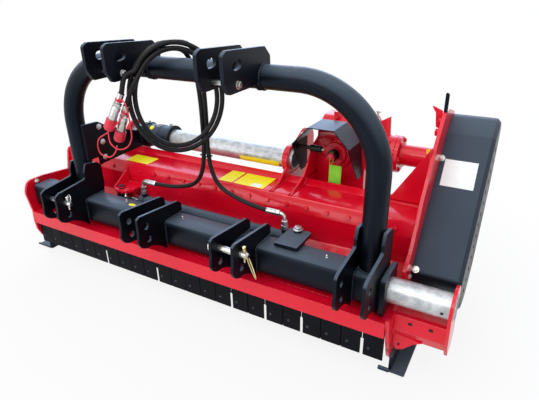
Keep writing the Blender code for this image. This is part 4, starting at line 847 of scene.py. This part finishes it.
def hose_loop(order):
    """Stops of hose 0 or 1 as it winds over the arch tube, each turn beside the last."""
    stops = []
    for step in range(LOOP_STOPS):
        turn = math.radians(LOOP_START + STOP_TURN * step)
        shift = LOOP_STEP * (STOP_TURN * step / 360 - HALF_WAY)
        grow = LOOP_STEP * order
        wide, high = (LOOP_WIDE + grow) * math.cos(turn), (LOOP_HIGH + grow) * math.sin(turn)
        stops.append((LOOP_MIDDLE[0] + shift * math.sin(LOOP_TURN) + wide * math.cos(LOOP_TURN),
                      LOOP_MIDDLE[1] - shift * math.cos(LOOP_TURN) + wide * math.sin(LOOP_TURN),
                      LOOP_MIDDLE[2] + high))
    return stops


HOSES = (   # letter, rise from the elbow, end after the loop, way of the coupler, strap of the cap
    ("a", [(324.3, 225, 102), (364, 225, 102), (470, 225, 112), (560, 225, 142), (604, 225, 200),
           (621, 225, 286), (624, 225, 380), (622, 226, 470), (617, 222, 545), (609, 206, 605),
           (600, 178, 642)],
     [(533, 4, 545), (512, -10, 491)], (-0.42, -0.01, -0.90),
     [(505, -22, 474), (516, -32, 464), (470, -40, 420), (433, -44, 396), (403, -46, 378),
      (387, -44, 351), (389, -40, 320), (422, -34, 311), (446, -28, 328), (452, -20, 352)]),
    ("b", [(917.7, 225, 102), (878, 225, 102), (780, 225, 116), (690, 225, 150), (652, 225, 205),
           (640, 225, 286), (642, 225, 380), (641, 227, 470), (637, 226, 550), (629, 214, 618),
           (617, 184, 662)],
     [(521, -9, 580), (511, -22, 532)], (-0.46, -0.14, -0.87),
     [(508, -38, 514), (527, -46, 520), (550, -50, 510), (557, -50, 479), (559, -50, 435),
      (556, -50, 399), (532, -50, 368), (492, -52, 355), (462, -54, 372), (450, -46, 402)]))
coupler_body = [(-GRIP, 8.2), (-GRIP, 10.2), (-21, 10.8), (-17, 9.9), (-13, 10.8), (-9, 9.9),
                (-5, 10.8), (-1, 10.2), (4, 9), (9, 9), (10, 11), (21, 11), (22, 9.5), (24, 12.6),
                (26, 14), (45, 14), (46, 13), (50, 13), (51, 14), (72, 14), (74, 13), (78, 12)]
coupler_nut = [(10, 12.4), (11, 13.4), (20, 13.4), (21, 12.4)]
cap = [(73, 14.2), (73, 16.8), (74.5, 18), (79, 18), (80, 17), (83, 17), (84, 18), (88, 18),
       (89, 17), (92, 17), (93, 18), (104, 18), (109, 16.5), (112, 13)]
cap_collar = [(-4, 9.2), (-4, 12.2), (4, 12.2), (4, 9.2)]
for order, (letter, lead, tail, hang, strap) in enumerate(HOSES):
    hang = Vector(hang).normalized()
    last = Vector(tail[-1]) + hang * GRIP
    route = [here(*point) for point in flowing([*lead, *hose_loop(order), *tail, last])]
    line = bpy.data.curves.new("hose_" + letter + "_line", "CURVE")
    line.dimensions = "3D"
    line.bevel_depth = HOSE
    line.bevel_resolution = 5
    line.use_fill_caps = True
    spline = line.splines.new("POLY")
    spline.points.add(len(route) - 1)
    for point, place in zip(spline.points, route):
        point.co = (*place, 1)
    line.materials.append(rubber)
    hose = placed("hose_" + letter + "_skin", line)
    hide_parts("hose_" + letter)
    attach(hose, "headstock")
    coupler = piece("coupler_" + letter + "_skin",
                    skin(turned(coupler_body, last, hang, 36), turned(coupler_nut, last, hang, 6)),
                    *ZINC_HEAD, stands_for=("coupler_" + letter,))
    dust_cap = piece("dust_cap_" + letter,
                     skin(turned(cap, last, hang, 36), turned(cap_collar, last, hang, 28, True)),
                     red_plastic, "headstock")
    piece("cap_strap_" + letter, skin(bar(flowing(strap), 2.3, 10)), red_plastic, "headstock")
tie = [(630 + a, CYLINDER_Y + b * 0.46, 268) for a, b in ring((0, 0), 25, 24)]
piece("cable_tie",
      skin(bar(tie, 1.9, 8, True), turned([(0, 2.6), (8, 2.6)], (640, 210, 268), (0.5, -1, 0), 6),
           bar([(642, 206, 268), (650, 192, 262), (655, 184, 252)], 1.3, 6)), rubber, "headstock")


# The drive.  The gearbox and its output housing are iron castings under the same red; bolts ring the
# input boss and both flanges.  The stub under the guard wears its ribbed transport sleeve and plug.
PTO_X, PTO_Z = 1005, 233           # axis of the stub
SHAFT_Y, SHAFT_Z = 650, 230        # axis of the output shaft
FILLER = (1062, SHAFT_Y, 362)
BREATHER_X, BREATHER_Y = 1130, 640
dress(("gearbox", "output_housing"), red, 2.5)


def ring_of(centre, radius, way, size, count, start=0):
    """Fastener spots round a circle whose axis runs along X or Y."""
    x, y, z = centre
    return [((x + a, y, z + b) if way[1] else (x, y + a, z + b), way, size)
            for a, b in ring((0, 0), radius, count, start)]


fasten("drive_bolts", hex_heads,
       ring_of((PTO_X, 545.5, PTO_Z), 53.5, FRONT, 6.5, 8, 22)
       + ring_of((1231, SHAFT_Y, SHAFT_Z), 57, RIGHT, 7.5, 6)
       + ring_of((1196, SHAFT_Y, SHAFT_Z), 65.5, LEFT, 5.5, 6)
       + ring_of((1361.5, SHAFT_Y, SHAFT_Z), 50, LEFT, 7, 6, 30), *RED_BODY)
piece("filler_and_boss",
      skin(turned([(-2, 15), (10, 15), (14, 12), (15, 9)], (912, 558, 184), FRONT, 28),
           turned([(-3, 16), (6, 16), (8, 14)], FILLER, UP, 28),
           turned([(8, 12), (9, 13), (18, 13), (19, 12)], FILLER, UP, 6)), *RED_BODY)
piece("gearbox_hanger",
      plate_skin([(1120, 340), (1140, 350), (1178, 372), (1182, 290), (1150, 270), (1120, 270)],
                 646, 656, "XZ"), *RED_BODY, edge=1.0)
piece("breather",
      skin(turned([(-4, 8), (4, 8), (5, 4), (28, 4), (29, 6), (34, 6), (35, 4)],
                  (BREATHER_X, BREATHER_Y, 356), UP, 20),
           bar([(BREATHER_X + side * 11, BREATHER_Y, 387) for side in (-1, 1)], 3)), *ZINC_FRAME)

# The stub under its guard, with the guard's knob and bolts
knob = [(0, 14), (4, 14), (5, 7), (52, 7), (53, 11), (56, 13), (98, 13), (101, 10)]
KNOB_AXIS = (470, 268)
piece("guard_knob", skin(turned(knob, (880, *KNOB_AXIS), RIGHT, 28)), rubber, "frame")
fasten("guard_bolts", hex_heads,
       [((980, *KNOB_AXIS), RIGHT, 7), ((877.5, *KNOB_AXIS), LEFT, 10),
        ((877.5, 520, 300), LEFT, 7)], *ZINC_FRAME, Stud_Length=0.5)
steel = surface("machined_steel", ("7E8084", "A3A5A8"), (0.26, 0.42), 24, 2, 0.08, 1.0)
stub = [(497, 13), (499, 15.5), (577, 15.5), (578, 14)]
folds = [(501, 15.6), (501, 19)]
for step in range(6):
    folds += [(503 + 5 * step, 21), (505 + 5 * step, 19.4)]
folds += [(534, 19), (534, 15.6)]
plug = [(488, 10), (490, 14), (494, 16.5), (501, 16.5)]
piece("stub_shaft", skin(turned(stub, (PTO_X, 0, PTO_Z), BACK, 32)), steel, "stub", "bare_steel",
      stands_for=("pto_shaft",))
piece("stub_sleeve", skin(turned(folds, (PTO_X, 0, PTO_Z), BACK, 36, True)), rubber, "stub", "rubber")
piece("stub_plug", skin(turned(plug, (PTO_X, 0, PTO_Z), BACK, 32)), red_plastic, "stub")
string = [(1010, 478, 206), (1006, 484, 222), (1005, 498, 253), (1010, 502, 254), (1020, 490, 228),
          (1014, 478, 207)]
card = ((1008, 479, 210), (1005, 480, 106), (1054, 480, 123), (1057, 479, 210))
piece("green_tag", skin(flat_label(card, FILM), bar(string, 0.9, 6)), green, "frame")

# The belt side: bare steel pulley, rubber belt and rear flap, and the black lever and lip
dress(("upper_pulley",), steel)
dress(("belt", "rear_flap"), rubber, 0.8)
lever = bent([(RIGHT_SIDE, 424), (1388, 424), (1388, 492, 5), (RIGHT_SIDE, 500, 5)], 2, True)
piece("flat_lever", plate_skin(lever, 557, 563, "XZ"), *BLACK_FRAME, edge=0.8)
lip = [(1386, y, z) for y, z in ((284, -50), (292, -36), (604, 342), (622, 355))]
piece("cover_lip", skin(bar(lip, 3.5, 10)), *BLACK_FRAME)


# The cutting side: black-painted flaps hang on a zinc-plated rod.  Each leaf has its rivet, and a lip
# behind the joint to its neighbour.  The roller is a painted tube with sunk ends.  The rotor's
# hammers have worn to bare brown steel.
flap_paint = surface("black_flap_paint", ("08090D", "101118"), (0.42, 0.6), 90, 5, 0.4)
gloss(flap_paint, 0.07)
blackened = surface("blackened_rivets", ("2E2F33", "45464B"), (0.3, 0.45), 20, 3, 0.1, 1.0)
worn = surface("worn_rotor_steel", ("38302A", "574A40"), (0.5, 0.72), 35, 3, 0.5, 0.6)
LEAVES = (2, 2, 2, 2, 2, 2, 3, 2, 2, 3, 1)   # leaves that hang together, from the left
LEAF_WIDTH = (RIGHT_SIDE - LEFT_SIDE) / sum(LEAVES)
LIP_HALF, LIP_LOW, LIP_HIGH = 7, -249, -138
first = 0
for number, leaves in enumerate(LEAVES, 1):
    body = f"flap_{number}"
    edges = [LEFT_SIDE + LEAF_WIDTH * (first + leaf) for leaf in range(leaves)]
    dress((f"flap_{number:02d}",), flap_paint, 0.8)
    fasten(f"flap_rivets_{number:02d}", rivet_heads,
           [((x + 22, 76, -218), FRONT, 5.5) for x in edges], blackened, body)
    if leaves > 1:
        piece(f"flap_lips_{number:02d}",
              [plate_skin([(x - LIP_HALF, LIP_LOW), (x + LIP_HALF, LIP_LOW),
                           (x + LIP_HALF, LIP_HIGH), (x - LIP_HALF, LIP_HIGH)], 79.9, 81.2, "XZ")
               for x in edges[1:]],
              flap_paint, body, "black_paint")
    first += leaves
dress(("flap_rod",), zinc, 0.6)
dress(("rotor",), worn)
roller = [(-254, 13.5), (-252, 15), (-240, 15), (-240, 61), (-242, 63), (-242, 68.5), (-240, 70),
          (1360, 70), (1362, 68.5), (1362, 63), (1360, 61), (1360, 15), (1372, 15), (1374, 13.5)]
piece("rear_roller_skin", skin(turned(roller, (0, 700, -250), RIGHT, 64)), black, "roller",
      "black_paint", stands_for=("rear_roller",))
skid_pin = [(1357, 6), (1358, 7), (1392, 7), (1393, 6)]
piece("skid_rod", skin(turned(skid_pin, (0, 104, -305), RIGHT, 20)), *BLACK_FRAME)
